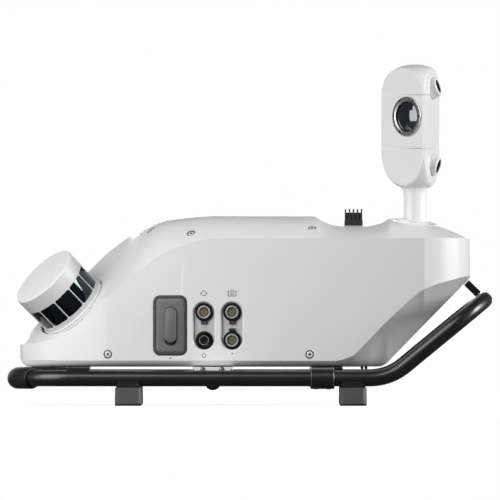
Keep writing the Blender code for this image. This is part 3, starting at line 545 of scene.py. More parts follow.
def finish(name, colour, roughness, metal, mottle, spread, relief, grain, stretch=(1.0, 1.0, 1.0), **sockets):
    """A shader with a fine grain in its relief and gloss, and a slow drift in its colour."""
    made = bpy.data.materials.new(name)
    made.use_nodes = True
    made.diffuse_color = (*colour, 1.0)
    nodes, links = made.node_tree.nodes, made.node_tree.links
    shader = nodes["Principled BSDF"]
    settings = {"Base_Color": (*colour, 1.0), "Roughness": roughness, "Metallic": metal, **sockets}
    for socket, value in settings.items():
        shader.inputs[socket.replace("_", " ")].default_value = value
    coords, mapping = nodes.new("ShaderNodeTexCoord"), nodes.new("ShaderNodeMapping")
    mapping.inputs["Scale"].default_value = stretch
    links.new(coords.outputs["Object"], mapping.inputs["Vector"])

    def noise(scale, detail):
        texture = nodes.new("ShaderNodeTexNoise")
        texture.inputs["Scale"].default_value = scale
        texture.inputs["Detail"].default_value = detail
        links.new(mapping.outputs["Vector"], texture.inputs["Vector"])
        return texture.outputs["Fac"]

    if mottle:
        ramp = nodes.new("ShaderNodeValToRGB")
        steps = ((0.3, 1.0 - mottle), (0.7, 1.0 + mottle))
        for element, (position, share) in zip(ramp.color_ramp.elements, steps):
            element.position = position
            element.color = (*[min(channel * share, 1.0) for channel in colour], 1.0)
        links.new(noise(14.0, 3.0), ramp.inputs["Fac"])
        links.new(ramp.outputs["Color"], shader.inputs["Base Color"])
    fine = noise(grain, 4.0)
    if spread:
        gloss = nodes.new("ShaderNodeMapRange")
        limits = (0.25, 0.75, max(roughness - spread, 0.02), min(roughness + spread, 1.0))
        for socket, value in zip(("From Min", "From Max", "To Min", "To Max"), limits):
            gloss.inputs[socket].default_value = value
        links.new(fine, gloss.inputs["Value"])
        links.new(gloss.outputs["Result"], shader.inputs["Roughness"])
    if relief:
        bump = nodes.new("ShaderNodeBump")
        bump.inputs["Strength"].default_value = relief
        bump.inputs["Distance"].default_value = 0.0002
        links.new(fine, bump.inputs["Height"])
        links.new(bump.outputs["Normal"], shader.inputs["Normal"])
    return made


def add_film(made):
    """Keeps the glass near black face on, and adds a cold mirror film that shows at a slant."""
    nodes, links = made.node_tree.nodes, made.node_tree.links
    film, facing = nodes.new("ShaderNodeBsdfGlossy"), nodes.new("ShaderNodeLayerWeight")
    film.inputs["Color"].default_value = (0.78, 0.9, 1.0, 1.0)
    film.inputs["Roughness"].default_value = 0.06
    facing.inputs["Blend"].default_value = 0.5
    ramp, mix = nodes.new("ShaderNodeValToRGB"), nodes.new("ShaderNodeMixShader")
    for element, position, level in zip(ramp.color_ramp.elements, (0.66, 0.95), (0.0, 0.5)):
        element.position = position
        element.color = (level, level, level, 1.0)
    links.new(facing.outputs["Facing"], ramp.inputs["Fac"])
    links.new(ramp.outputs["Color"], mix.inputs["Fac"])
    links.new(nodes["Principled BSDF"].outputs["BSDF"], mix.inputs[1])
    links.new(film.outputs["BSDF"], mix.inputs[2])
    links.new(mix.outputs["Shader"], nodes["Material Output"].inputs["Surface"])


# ---- objects

def link(name, data):
    made = bpy.data.objects.new(name, data)
    bpy.context.scene.collection.objects.link(made)
    return made


def smooth(mesh, angle=SHARP):
    mesh.shade_smooth()
    mesh.set_sharp_from_angle(angle=radians(angle))


def to_mesh(name, mesh_builder, place=None):
    """Turns a builder into a mesh whose faces look outwards, moved to its place."""
    bmesh.ops.recalc_face_normals(mesh_builder, faces=mesh_builder.faces)
    mesh = bpy.data.meshes.new(name)
    mesh_builder.to_mesh(mesh)
    mesh_builder.free()
    if place is not None:
        mesh.transform(place)
    return mesh


def solid(name, mesh_builder, look, place=None, angle=SHARP):
    mesh = to_mesh(name, mesh_builder, place)
    smooth(mesh, angle)
    mesh.materials.append(LOOKS[look])
    return link(name, mesh)


def belongs(made, body, slot, *nodes):
    """Puts an object on its body, with the CAD nodes it stands for. Its slot argument is not used."""
    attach(made, body)
    if nodes:
        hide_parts(*nodes)
    return made


def piece(name, mesh_builder, look, slot, *nodes, place=None, body=HOUSING):
    return belongs(solid(name, mesh_builder, look, place), body, slot, *nodes)


def joined(name, tools):
    """One object from (mesh builder, place) pairs that stay clear of each other."""
    whole = bmesh.new()
    for mesh_builder, place in tools:
        part = to_mesh("part", mesh_builder, place)
        whole.from_mesh(part)
        bpy.data.meshes.remove(part)
    mesh = bpy.data.meshes.new(name)
    whole.to_mesh(mesh)
    whole.free()
    return link(name, mesh)


def carve(target, tools, operation="DIFFERENCE", angle=SHARP):
    """Bakes a boolean of the target with its tools into the target's mesh."""
    helper = joined("helper", tools)
    modifier = target.modifiers.new("carve", "BOOLEAN")
    modifier.operation = operation
    modifier.object = helper
    modifier.solver = "EXACT"
    bpy.context.view_layer.update()
    seen = target.evaluated_get(bpy.context.evaluated_depsgraph_get())
    mesh = bpy.data.meshes.new_from_object(seen)
    target.modifiers.clear()
    target.data = mesh
    smooth(mesh, angle)
    bpy.data.objects.remove(helper)


def soften(made, width, segments=3, angle=40.0):
    modifier = made.modifiers.new("soft_edges", "BEVEL")
    modifier.width = width
    modifier.segments = segments
    modifier.limit_method = "ANGLE"
    modifier.angle_limit = radians(angle)
    modifier.harden_normals = True


def dress(node, look):
    node.data.materials.clear()
    node.data.materials.append(LOOKS[look])


def arc(centre, radius, start, end, steps=6):
    """Points of an arc in (radius, height) space, angles in degrees."""
    angles = [radians(start + (end - start) * i / steps) for i in range(steps + 1)]
    return [(centre[0] + radius * cos(a), centre[1] + radius * sin(a)) for a in angles]


def circle_outline(radius, sides=40):
    angles = [2.0 * pi * i / sides for i in range(sides)]
    return [(radius * cos(a), radius * sin(a)) for a in angles]


def densify(outline, step):
    """The same outline with a point at least every step."""
    points = []
    for a, b in zip(outline, outline[1:] + outline[:1]):
        count = max(1, ceil(dist(a, b) / step))
        points += [(a[0] + (b[0] - a[0]) * k / count, a[1] + (b[1] - a[1]) * k / count) for k in range(count)]
    return points


def slab(width, height, corner, steps, levels, shift=(0.0, 0.0), closed=False):
    """Skins rounded rectangles that face the wall, one for each (depth, inset)."""
    rings = []
    for depth, inset in levels:
        outline = rounded_outline(width - 2 * inset, height - 2 * inset, corner - inset, steps)
        rings.append([(x + shift[0], depth, z + shift[1]) for x, z in outline])
    return loft(rings, closed=closed)


def hexagon_r(across, angle):
    """The radius of a hexagon's outline in that direction."""
    sixth = pi / 3.0
    return 0.5 * across / cos((angle % sixth) - 0.5 * sixth)


def socket_screw(radius, height, across, sides=48):
    """A cap screw's head with a rounded rim and a hexagon socket. Its top is at the local origin."""
    angles = [2.0 * pi * i / sides for i in range(sides)]

    def ring(radii, z):
        return [(r * cos(a), r * sin(a), z) for r, a in zip(radii, angles)]

    edge = 0.18 * radius
    depth = 0.55 * min(height, across)
    rim = ((radius, -height), (radius, -edge), (radius - 0.3 * edge, -0.3 * edge), (radius - edge, 0.0))
    rings = [ring([r] * sides, z) for r, z in rim]
    rings += [ring([hexagon_r(across, a) for a in angles], z) for z in (0.0, -depth)]
    return loft(rings, end_pole=(0.0, 0.0, -1.2 * depth))


def bolt(name, at, out, radius, look="steel"):
    """A socket screw whose head stands on a face."""
    height = 0.45 * radius
    across = X_AXIS if abs(out[2]) > 0.9 else Z_AXIS
    place = axis_frame(Vector(at) + Vector(out).normalized() * height, out, across)
    piece(name, socket_screw(radius, height - 0.00002, radius, 36), look, "steel", place=place)


# ---- the housing's surface

def scoop(x, y):
    """How far the deck is dished beside the mast: one round dish on each side of the ridge."""
    away = hypot(x - MAST_X, abs(y) - SCOOP_AT_Y)
    return SCOOP_DEPTH * (1.0 - smoothstep(*SCOOP_RADII, away))


def top_heights(x, shares):
    """Heights over the wall edges at those shares of the half width, before the deck is dished."""
    top, edge = ridge(x), along(SHOULDER_EDGE, x)
    crowned = smoothstep(FACET_END_X, CROWN_START_X, x)
    peak = max(shoulder_shape(u, crowned) for u in np.linspace(-1.0, 1.0, 81))
    return [edge + (top - edge) * shoulder_shape(u, crowned) / peak for u in shares]


def deck(x, share):
    """A point of the outer surface, from the near side at -1 to the far side at 1."""
    y = share * half_width(x)
    return Vector((x, y, top_heights(x, [share])[0] - scoop(x, y)))


def section(x, over=TOP_STEPS, under=UNDER_STEPS, wall=0.0, skin=0.0, floor=0.0):
    """One closed cross-section at x: over the top from the near side, then back underneath."""
    width = half_width(x) - wall
    low_edge, low = along(LOWER_EDGE, x), along(UNDERSIDE, x)
    low_power = 14.0 - 11.6 * smoothstep(0.11, 0.175, x)

    def shares(steps):
        return [sin(0.5 * pi * s) for s in np.linspace(-1.0, 1.0, steps)]

    points = []
    for u, height in zip(shares(over), top_heights(x, shares(over))):
        points.append((x, u * width, height - scoop(x, u * width) - skin))
    for u in reversed(shares(under)):
        points.append((x, u * width, low_edge - (low_edge - low) * (1.0 - abs(u) ** low_power) + floor))
    return points


def stations(nose_steps, tail_steps, start, end, step, fine_step):
    """X of the cross-sections, close together where the plan turns and closest beside the mast."""
    middle = [-0.16, -0.14, -0.12, -0.1, -0.075, -0.046, 0.0, 0.045, 0.09, 0.096, 0.104, 0.1185]
    middle += [0.1365, 0.1545, 0.169, 0.178, 0.184, 0.2]
    reach, margin = SCOOP_RADII[1], 0.002
    xs = [NOSE_END_X, *middle, TAIL_START_X]
    for i in range(nose_steps):
        a = 0.5 * pi * (1.0 - i / nose_steps) - 0.03 * (i == 0)
        xs.append(NOSE_END_X - (NOSE_END_X - NOSE_X) * sin(a))
    for i in range(1, tail_steps + 1):
        a = 0.5 * pi * i / tail_steps - 0.03 * (i == tail_steps)
        xs.append(TAIL_START_X + (TAIL_X - TAIL_START_X) * sin(a) ** (2.0 / TAIL_POWER))
    inside = [x for x in xs if start + margin < x < end - margin]
    coarse = sorted({start, *inside, end, MAST_X - reach, MAST_X + reach})
    fine = [start]
    for x in coarse[1:]:
        first = fine[-1]
        widest = fine_step if abs(0.5 * (first + x) - MAST_X) < reach else step
        count = max(1, ceil((x - first) / widest - 1e-6))
        fine += [first + (x - first) * k / count for k in range(1, count + 1)]
    return fine


def housing_mesh():
    xs = stations(26, 24, NOSE_X + 0.0003, TAIL_X - 0.0002, STATION_STEP, SCOOP_STEP)
    return loft([section(x) for x in xs])


def cavity_mesh():
    xs = stations(10, 10, -0.296, 0.286, 0.012, 0.004)
    return loft([section(x, 41, 13, WALL, SKIN, FLOOR) for x in xs])


def surface_frame(x, z, side):
    """Z out of the housing's side wall, where it is at that X, and X upwards."""
    step = 0.0005
    slope = (half_width(x + step) - half_width(x - step)) / (2.0 * step)
    return axis_frame(Vector((x, side * half_width(x), z)), Vector((-slope, side, 0.0)), Z_AXIS)


def shoulder_frame(x, z, side):
    """Z out of the crowned shoulder, at that X and height."""
    shares = [side * (1.0 - k / 400.0) for k in range(400)]
    share = next((u for u in shares if deck(x, u).z >= z), side * 0.05)
    across = deck(x, share + 0.01) - deck(x, share - 0.01)
    lengthways = deck(x + 0.002, share) - deck(x - 0.002, share)
    out = lengthways.cross(across)
    if out.z < 0.0:
        out.negate()
    return axis_frame(deck(x, share), out, X_AXIS)


# ---- housing

def flared_cutter(width, height, corner, steps, flare):
    """A cutter for an opening in the wall whose rim is chamfered."""
    return slab(width, height, corner, steps, ((-0.01, -flare), (0.0, -flare), (flare, 0.0), (0.012, 0.0)))


def sink_box(grow, low, high):
    """A box round the heat sink, larger than it by so much on every side."""
    right = SINK_LEFT + SINK_LENGTH
    return box_mesh((SINK_LEFT - grow, -SINK_HALF_Y - grow, low), (right + grow, SINK_HALF_Y + grow, high))


def sunk_screw(name, hole, play, clear, socket, place):
    """A white screw head in a hole, with near-black pieces for the painted shade in the gap round it and in
    its socket.
    """
    rim, wall = hole - play, hole - clear
    piece(name, socket_screw(rim - 0.0001, 0.001, 0.0034), "white", "white_shell", place=place)
    # A near-black ring in the gap round the head: painted shade.
    painted_gap_shade = turned([(rim, -0.0012), (wall, -0.0012), (wall, 0.0), (rim, -0.0002)], 48, ring=True)
    piece(f"{name}_well", painted_gap_shade, "dark", "black_fittings", place=place)
    # A near-black disc under the socket: painted shade in the socket.
    piece(f"{name}_socket", rod(socket, -0.0014, -0.0002, 48), "dark", "black_fittings", place=place)


def make_housing():
    seat = axis_frame(SCAN_BASE, SCAN_AXIS, (0.0, -1.0, 0.0))
    tools = [
        (rod(SEAT_R + 0.0004, -0.0096, 0.03, ROUND), seat),
        (rod(MAST_R + 0.0012, 0.222, 0.27, 64), Matrix.Translation((MAST_X, 0.0, 0.0))),
        (sink_box(0.0011, 0.225, 0.27), None),
    ]
    tall = RECESS_Z[1] - RECESS_Z[0]
    for x in RECESS_X:
        cutter = flared_cutter(RECESS_WIDTH, tall, RECESS_WIDTH / NEARLY_TWO, 16, 0.0016)
        tools.append((cutter, wall_frame(x, 0.5 * sum(RECESS_Z))))
    clear = 0.0012
    tall = CARTRIDGE_Z[1] - CARTRIDGE_Z[0] + clear
    cutter = flared_cutter(CARTRIDGE_WIDTH + clear, tall, CARTRIDGE_CORNER + clear / 2, 10, 0.0009)
    tools.append((cutter, wall_frame(CARTRIDGE_X, 0.5 * sum(CARTRIDGE_Z))))
    for side in (-1.0, 1.0):
        for x, z in CAP_SCREWS:
            tools.append((rod(CAP_SCREW_R, -0.0014, 0.01, 48), surface_frame(x, z, side)))
        for x, z in SHOULDER_SCREWS:
            tools.append((rod(SHOULDER_SCREW_R, -0.0018, 0.02, 40), shoulder_frame(x, z, side)))

    hood = solid("hood", housing_mesh(), "white")
    pan = link("pan", hood.data.copy())
    low = (-0.33, -0.2, 0.03)
    carve(hood, [(cavity_mesh(), None)])
    carve(hood, [(box_mesh(low, (PAN_END_X + GAP / 2, 0.2, SPLIT_Z + GAP / 2)), None)])
    carve(hood, tools)
    belongs(hood, HOUSING, "white_shell", "hood_shell")
    carve(pan, [(box_mesh(low, (PAN_END_X - GAP / 2, 0.2, SPLIT_Z - GAP / 2)), None)], "INTERSECT")
    carve(pan, [(cavity_mesh(), None)])
    belongs(pan, HOUSING, "white_shell", "base_pan")

    for side, word in ((-1.0, "near"), (1.0, "far")):
        for k, (x, z) in enumerate(CAP_SCREWS):
            place = offset(surface_frame(x, z, side), 0.0, 0.0, -0.0002)
            sunk_screw(f"cap_screw_{word}_{k}", CAP_SCREW_R, 0.0013, 0.0001, 0.0018, place)
        for k, (x, z) in enumerate(SHOULDER_SCREWS):
            place = offset(shoulder_frame(x, z, side), 0.0, 0.0, -0.0004)
            sunk_screw(f"shoulder_screw_{word}_{k}", SHOULDER_SCREW_R, 0.0016, 0.0002, 0.002, place)
        for k, (x, y) in enumerate(TAIL_SCREWS):
            place = Matrix.Translation((x, side * y, BOTTOM_Z - 0.0021))
            head = [*arc((0.0, 0.0), 0.0016, -90.0, 0.0, 4), (0.0016, 0.0024), (0.0, 0.0024)]
            piece(f"tail_screw_{word}_{k}", turned(head, 20), "dark", "steel", place=place)


def make_heat_sink():
    """A finned block whose fins wrap down its end faces to a low band."""
    right = SINK_LEFT + SINK_LENGTH
    # The core between the fins is near black, darker than the fins: dark metal, with painted shade in the
    # gaps between them.
    low = (SINK_LEFT + 0.0003, -SINK_HALF_Y + 0.0016, SINK_LOW + 0.001)
    core = box_mesh(low, (right - 0.0003, SINK_HALF_Y - 0.0016, FIN_FOOT))
    piece("heat_sink_core", core, "dark", "heat_sink_metal")
    fins = []
    for i in range(FINS):
        x = SINK_LEFT + i * FIN_PITCH
        fins.append((box_mesh((x, -SINK_HALF_Y, SINK_LOW), (x + FIN_WIDTH, SINK_HALF_Y, FIN_TOP)), None))
    comb = solid("heat_sink_comb", sink_box(0.0005, SINK_LOW - 0.0008, 0.244), "fin")
    carve(comb, fins, "UNION")
    soften(comb, 0.00025, 2)
    belongs(comb, HOUSING, "heat_sink_metal", "heat_sink")


# ---- fittings on the near wall

def tab_outline(flange, half, reach, sign, steps=40):
    """A round flange with a square tab that points up or down."""
    start = asin(half / flange)
    points = []
    for i in range(steps + 1):
        a = start + (2.0 * pi - 2.0 * start) * i / steps
        points.append((flange * sin(a), sign * flange * cos(a)))
    return [*points, (-half, sign * reach), (half, sign * reach)]


def ring_plate(outer, inner_r, low, high):
    """A plate with any outline and a round hole, from one depth to another."""
    hole = [(x * inner_r / hypot(x, z), z * inner_r / hypot(x, z)) for x, z in outer]
    steps = ((outer, low), (outer, high), (hole, high), (hole, low))
    return loft([[(x, depth, z) for x, z in outline] for outline, depth in steps], closed=True)


def make_connector(name, x, z, sign, tab_look):
    """A keyed flange, a steel collar and a gold insert with its contacts."""
    flat, axis = wall_frame(x, z), fitting_frame(x, z)
    front = PANEL_AT - GAP
    outline = tab_outline(FLANGE_R, 0.0042, 0.0156, sign)
    plate = ring_plate(outline, SHELL_R + 0.0001, front - 0.0024, front)
    soften(piece(f"flange_{name}", plate, "jet", "black_fittings", place=flat), 0.0004, 2)
    ends = sorted((sign * 0.0118, sign * 0.0151))
    tab = box_mesh((-0.0036, front - 0.0029, ends[0]), (0.0036, front - 0.0022, ends[1]), 0.0002)
    piece(f"tab_{name}", tab, tab_look, "black_fittings", place=flat)
    shell = [(0.0062, 0.0128), (0.0062, front - 0.0038)]
    shell += arc((0.0068, front - 0.004), 0.0006, 180.0, 270.0, 4)
    shell.append((SHELL_R - 0.0009, front - 0.0046))
    shell += arc((SHELL_R - 0.0008, front - 0.0038), 0.0008, -90.0, 0.0, 4)
    shell += [(SHELL_R, front), (0.0075, front), (0.0075, 0.0128)]
    collar = turned(shell, ROUND, ring=True)
    piece(f"collar_{name}", collar, "collar", "steel", f"connector_{name}", place=axis)
    top = front - 0.003
    insert = [(0.0, top + 0.0004), (0.0012, top + 0.0004), (0.0014, top), (INSERT_R - 0.0004, top)]
    insert = turned([*insert, (INSERT_R, top + 0.0004), (INSERT_R, 0.0126), (0.0, 0.0126)], 48)
    piece(f"insert_{name}", insert, "gold", "brass_contacts", f"connector_insert_{name}", place=axis)
    pin = ((0.0, 0.0), (0.00035, 0.0001), (0.00045, 0.0004), (0.00045, 0.0016), (0.0, 0.0016))
    for k in range(CONTACTS + 1):
        a = 2.0 * pi * k / CONTACTS
        r = 0.0 if k == CONTACTS else CONTACT_AT
        spot = offset(axis, r * cos(a), r * sin(a), top - 0.0006)
        piece(f"pin_{name}_{k}", turned(pin, 12), "pin", "brass_contacts", place=spot)


def bar(left, low, right, high):
    return ([(left, low), (right, low), (right, high), (left, high)], 0.0)


def make_marks():
    """Plain pictograms: a ring, a camera, a power ring and two arrow heads. A hole radius makes a ring."""
    ring = [
        (circle_outline(0.0036), 0.0028),
        bar(-0.005, -0.0005, -0.0037, 0.0005), bar(0.0037, -0.0005, 0.005, 0.0005),
    ]
    line, half_x, half_z, gap = 0.0008, 0.0056, 0.0035, 0.0018
    camera = [
        bar(-half_x, -half_z, half_x, line - half_z),
        bar(-half_x, half_z - line, -gap, half_z),
        bar(gap, half_z - line, half_x, half_z),
        bar(-half_x, line - half_z, line - half_x, half_z - line),
        bar(half_x - line, line - half_z, half_x, half_z - line),
        bar(-gap, half_z + 0.0002, gap, half_z + 0.0012),
        (circle_outline(0.0021), 0.0013),
    ]
    arrow = [([(0.0, 0.0012), (-0.0013, -0.001), (0.0013, -0.001)], 0.0)]
    marks = (
        ("ring", ring, -0.0608, 0.1477), ("camera", camera, -0.0236, 0.1472),
        ("power", [(circle_outline(0.0029), 0.0021)], -0.0604, 0.0655),
        ("cartridge", arrow, -0.1046, 0.0625), ("data", arrow, -0.0233, 0.0685),
    )
    for name, outlines, x, z in marks:
        tools = []
        for outline, hole in outlines:
            mesh = ring_plate(outline, hole, *PRINT_DEPTHS) if hole else wall_block(outline, *PRINT_DEPTHS)
            tools.append((mesh, wall_frame(x, z)))
        made = joined(f"mark_{name}", tools)
        made.data.materials.append(LOOKS["print"])
        belongs(made, HOUSING, "black_fittings")


def make_button():
    axis = fitting_frame(RECESS_X[0], LOWER_Z)
    front = PANEL_AT - GAP
    bezel = [(FLANGE_R, front), *arc((FLANGE_R - 0.0012, front - 0.0012), 0.0012, 0.0, -90.0, 5)]
    bezel += [(0.0098, front - 0.0024), (0.009, front - 0.003), (0.0082, front - 0.0026)]
    bezel += [(0.0075, front - 0.0018), (0.0075, front)]
    piece("bezel", turned(bezel, ROUND, ring=True), "jet", "black_fittings", "button_bezel", place=axis)
    top = front - 0.0034
    cap = [(0.0, top + 0.0006), (0.004, top + 0.0002)]
    cap += arc((BUTTON_R - 0.0006, top + 0.0006), 0.0006, -90.0, 0.0, 4)
    cap = turned([*cap, (BUTTON_R, 0.0088), (0.0, 0.0088)], ROUND)
    body = "power_button_body"
    piece("button_cap", cap, "jet", "black_fittings", "power_button", place=axis, body=body)
    halo = hoop(0.0058, 0.0062, top - 0.0001, top + 0.0009, ROUND)
    piece("button_halo", halo, "recess", "steel", place=axis, body=body)


def make_cartridge():
    place = wall_frame(CARTRIDGE_X, 0.5 * sum(CARTRIDGE_Z))
    face = (CARTRIDGE_WIDTH, CARTRIDGE_Z[1] - CARTRIDGE_Z[0], CARTRIDGE_CORNER, 12)
    levels = ((-0.0019, 0.006), (-0.0017, 0.0052), (-0.0005, 0.0032), (0.0007, 0.003), (0.0008, 0.0))
    case = solid("cartridge_case", slab(*face, [*levels, (CARTRIDGE_DEPTH, 0.0)]), "plate", place)
    levels = ((-0.0002, 0.0004), (-0.0005, 0.001), (-0.0003, 0.0028), (0.0006, 0.0029), (0.0006, 0.0))
    border = slab(*face, levels, closed=True)
    body = "cartridge_body"
    piece("cartridge_border", border, "frame", "black_fittings", place=place, body=body)
    place = wall_frame(CARTRIDGE_X, GRIP_TOP_Z - 0.5 * GRIP_SIZE[1])
    shift, play, notch = 0.0007, 0.0004, 0.0032
    width, tall = GRIP_SIZE[0] + 0.001, GRIP_SIZE[1] + 0.0014
    pocket = slab(width, tall, width / NEARLY_TWO, 14, ((-0.006, 0.0), (0.001, 0.0)), (shift, 0.0))
    carve(case, [(pocket, place)])
    belongs(case, body, "grey_plastic", "cartridge")
    corner = (width - play) / NEARLY_TWO
    # A near-black lining in the pocket, which shows below the shortened flap: painted shade under the grip.
    lining = slab(width - play, tall - play, corner, 14, ((0.0007, 0.0), (0.001, 0.0)), (shift, 0.0))
    piece("grip_pocket_painted_shade", lining, "dark", "black_fittings", place=place, body=body)
    levels = ((-0.0063, 0.0022), (-0.0059, 0.0012), (-0.005, 0.0003), (-0.0044, 0.0), (-0.0019, 0.0))
    width, tall = GRIP_SIZE[0], GRIP_SIZE[1] - notch
    flap = slab(width, tall, width / NEARLY_TWO, 14, levels, (shift, 0.5 * notch))
    body = "cartridge_grip_body"
    piece("cartridge_flap", flap, "plate", "grey_plastic", "cartridge_grip", place=place, body=body)


# ---- scan head

def make_scan_head():
    place = axis_frame(SCAN_BASE, SCAN_AXIS, (0.0, -1.0, 0.0))
    inner = BASE_R + 0.0009
    seat = [(SEAT_R, -0.0014), *arc((SEAT_R - 0.0008, -0.0014), 0.0008, 0.0, 90.0, 4), (inner, -0.0006)]
    seat += [(inner, -0.0065), (0.012, -0.0065), (0.012, -0.009), (SEAT_R, -0.009)]
    seat = turned(seat, 128, ring=True)
    piece("seat_ring", seat, "white", "black_fittings", "scan_seat_ring", place=place)
    gap = hoop(0.013, BASE_R + 0.0008, -0.0064, -0.0058, 128)
    piece("seat_shadow", gap, "dark", "black_fittings", place=place)

    inner, lip = SPINDLE_R + GAP, DRUM_R + 0.0008
    base = [(inner, -0.004), (BASE_R - 0.0004, -0.004), (BASE_R, -0.0036)]
    base += [*arc((BASE_R - 0.0008, 0.001), 0.0008, 0.0, 90.0, 4), (lip, 0.0018)]
    base += [*arc((lip, 0.0026), 0.0008, -90.0, -180.0, 4), (DRUM_R, BAND_TOP), (inner, BAND_TOP)]
    base = turned(base, 144, ring=True)
    piece("drum_base", base, "cap", "white_shell", "scan_base", place=place, body="scan_head")

    cage = hoop(DRUM_R - 0.0007, DRUM_R, BAND_TOP + 0.0001, WINDOW_TOP, 192)
    cage = solid("drum_cage", cage, "cap", place)
    middle = 0.5 * (BAND_TOP + WINDOW_TOP)
    wide, tall = 2.0 * pi * DRUM_R / WINDOWS - RIB_WIDTH, WINDOW_TOP - BAND_TOP - 0.0022
    outline = densify(rounded_outline(wide, tall, 0.003, 6), 0.0022)
    tools = []
    for k in range(WINDOWS):
        points = [(2.0 * pi * k / WINDOWS + s / DRUM_R, middle + h) for s, h in outline]
        radii = (DRUM_R - 0.003, DRUM_R + 0.003)
        rings = [[(r * cos(a), r * sin(a), z) for a, z in points] for r in radii]
        tools.append((loft(rings), place))
    carve(cage, tools)
    belongs(cage, "scan_head", "white_shell", "scan_cage")
    glass = hoop(DRUM_R - 0.0035, DRUM_R - 0.0009, BAND_TOP + GAP, WINDOW_TOP, 144)
    piece("drum_window", glass, "film", "dark_glass", "scan_window", place=place, body="scan_head")

    fillet, crown, low = 0.0022, 0.001, WINDOW_TOP + 0.0001
    cap = [(0.0, low), (DRUM_R, low)]
    cap += arc((DRUM_R - fillet, CAP_TOP - crown - fillet), fillet, 0.0, 80.0, 10)
    for k in range(1, 9):
        r = (DRUM_R - fillet) * (1.0 - k / 9.0)
        cap.append((r, CAP_TOP - crown * (r / DRUM_R) ** 2 * 0.9))
    cap = turned([*cap, (0.0, CAP_TOP)], 144)
    piece("drum_cap", cap, "cap", "white_shell", "scan_cap", place=place, body="scan_head")


# ---- camera mast and head

def make_mast():
    foot, groove, flare, rise = 0.2222, 0.0003, 0.0042, 0.0115
    start = MAST_SEAM_Z + 0.001
    tube = [(MAST_R, foot), (MAST_R, MAST_SEAM_Z - groove)]
    tube += [(MAST_R - groove, MAST_SEAM_Z), (MAST_R, MAST_SEAM_Z + groove)]
    for k in range(1, 11):
        a = 0.5 * pi * k / 10
        tube.append((MAST_R + flare * (1.0 - cos(a)), start + rise * sin(a)))
    tube = turned([*tube, (MAST_BORE, start + rise), (MAST_BORE, foot)], ROUND, ring=True)
    place = Matrix.Translation((MAST_X, 0.0, 0.0))
    piece("mast", tube, "white", "white_shell", "mast_tube", place=place)


def head_shell(name, levels, inner, capped):
    rings = [head_ring(z, 0.0, HEAD_SIDES) for z in levels]
    rings += [head_ring(z, HEAD_WALL, HEAD_SIDES) for z in inner]
    made = solid(f"head_{name}", loft(rings, closed=not capped), "white", None, HEAD_SHARP)
    return belongs(made, HOUSING, "white_shell", f"camera_shell_{name}")


def make_camera():
    low, high = HEAD_Z
    below, above = HEAD_SEAMS[0] - SEAM_LINE, HEAD_SEAMS[1] + SEAM_LINE
    rounding = [sin(0.5 * pi * k / 26) for k in range(27)]
    inner = [below, low + 0.03, low + 0.018, low + 0.01, low + 0.006]
    bottom = head_shell("bottom", [low + (below - low) * s for s in rounding], inner, True)
    start, end = HEAD_SEAMS[0] + SEAM_LINE, HEAD_SEAMS[1] - SEAM_LINE
    middle = head_shell("middle", [start + (end - start) * k / 8 for k in range(9)], [end, start], False)
    inner = [above, high - 0.026, high - 0.014, high - 0.0065]
    top = head_shell("top", [above + (high - 0.0001 - above) * s for s in rounding][::-1], inner, True)
    for name, bearing in (("near", FACES[0]), ("far", FACES[2])):
        place = offset(face_frame(bearing, SIDE_LENS_Z), 0.0, -SIDE_LENS_SHIFT, 0.0)
        carve(middle, [(rod(SIDE_GLASS_R + 0.0004, 0.012, 0.06, 64), place)], angle=HEAD_SHARP)
        make_side_lens(name, place)
    for name, shell, (height, tilt) in zip(("upper", "lower"), (top, bottom), SMALL_LENS):
        place = face_frame(FACES[1], height, tilt)
        for cut in (shell, middle):
            carve(cut, [(rod(SMALL_HOOD_R + 0.0002, 0.014, 0.06, 64), place)], angle=HEAD_SHARP)
        make_small_lens(name, place)


def make_side_lens(name, place):
    face, inner = FACE_AT, SIDE_GLASS_R - 0.0012
    ring = [(SIDE_RING_R, face + GAP), *arc((SIDE_RING_R - 0.0006, face + 0.0016), 0.0006, 0.0, 90.0, 4)]
    ring += [(inner + 0.0016, face + 0.0026), (inner + 0.0008, face + 0.0022)]
    ring = turned([*ring, (inner, face + 0.0006), (inner, face + GAP)], 128, ring=True)
    piece(f"lens_ring_{name}", ring, "steel", "steel", f"side_lens_ring_{name}", place=place)
    for k in range(LENS_SCREWS):
        a = 2.0 * pi * (k + 0.5) / LENS_SCREWS
        at = (LENS_SCREW_AT * cos(a), LENS_SCREW_AT * sin(a), face + 0.003)
        screw = socket_screw(0.0014, 0.0008, 0.0014, 24)
        spot = offset(place, *at)
        piece(f"lens_screw_{name}_{k}", screw, "black", "black_fittings", place=spot)
    rim, deep = inner - 0.0001, face - 0.0052
    cone = turned([(rim, face + 0.001), (0.0186, face - 0.001), (0.0186, deep), (rim, deep)], 96, ring=True)
    piece(f"lens_cone_{name}", cone, "dark", "black_fittings", place=place)
    sphere, edge_r, edge_h = 0.048, 0.0184, face + 0.0004
    sag = sqrt(sphere**2 - edge_r**2)
    start = atan2(sag, edge_r)
    dome = [(0.0, 0.015), (edge_r, 0.015), (edge_r, edge_h)]
    for k in range(1, 15):
        a = start + (0.5 * pi - start) * k / 14
        dome.append((sphere * cos(a) if k < 14 else 0.0, edge_h - sag + sphere * sin(a)))
    glass = turned(dome, 96)
    piece(f"lens_glass_{name}", glass, "lens", "dark_glass", f"side_lens_glass_{name}", place=place)


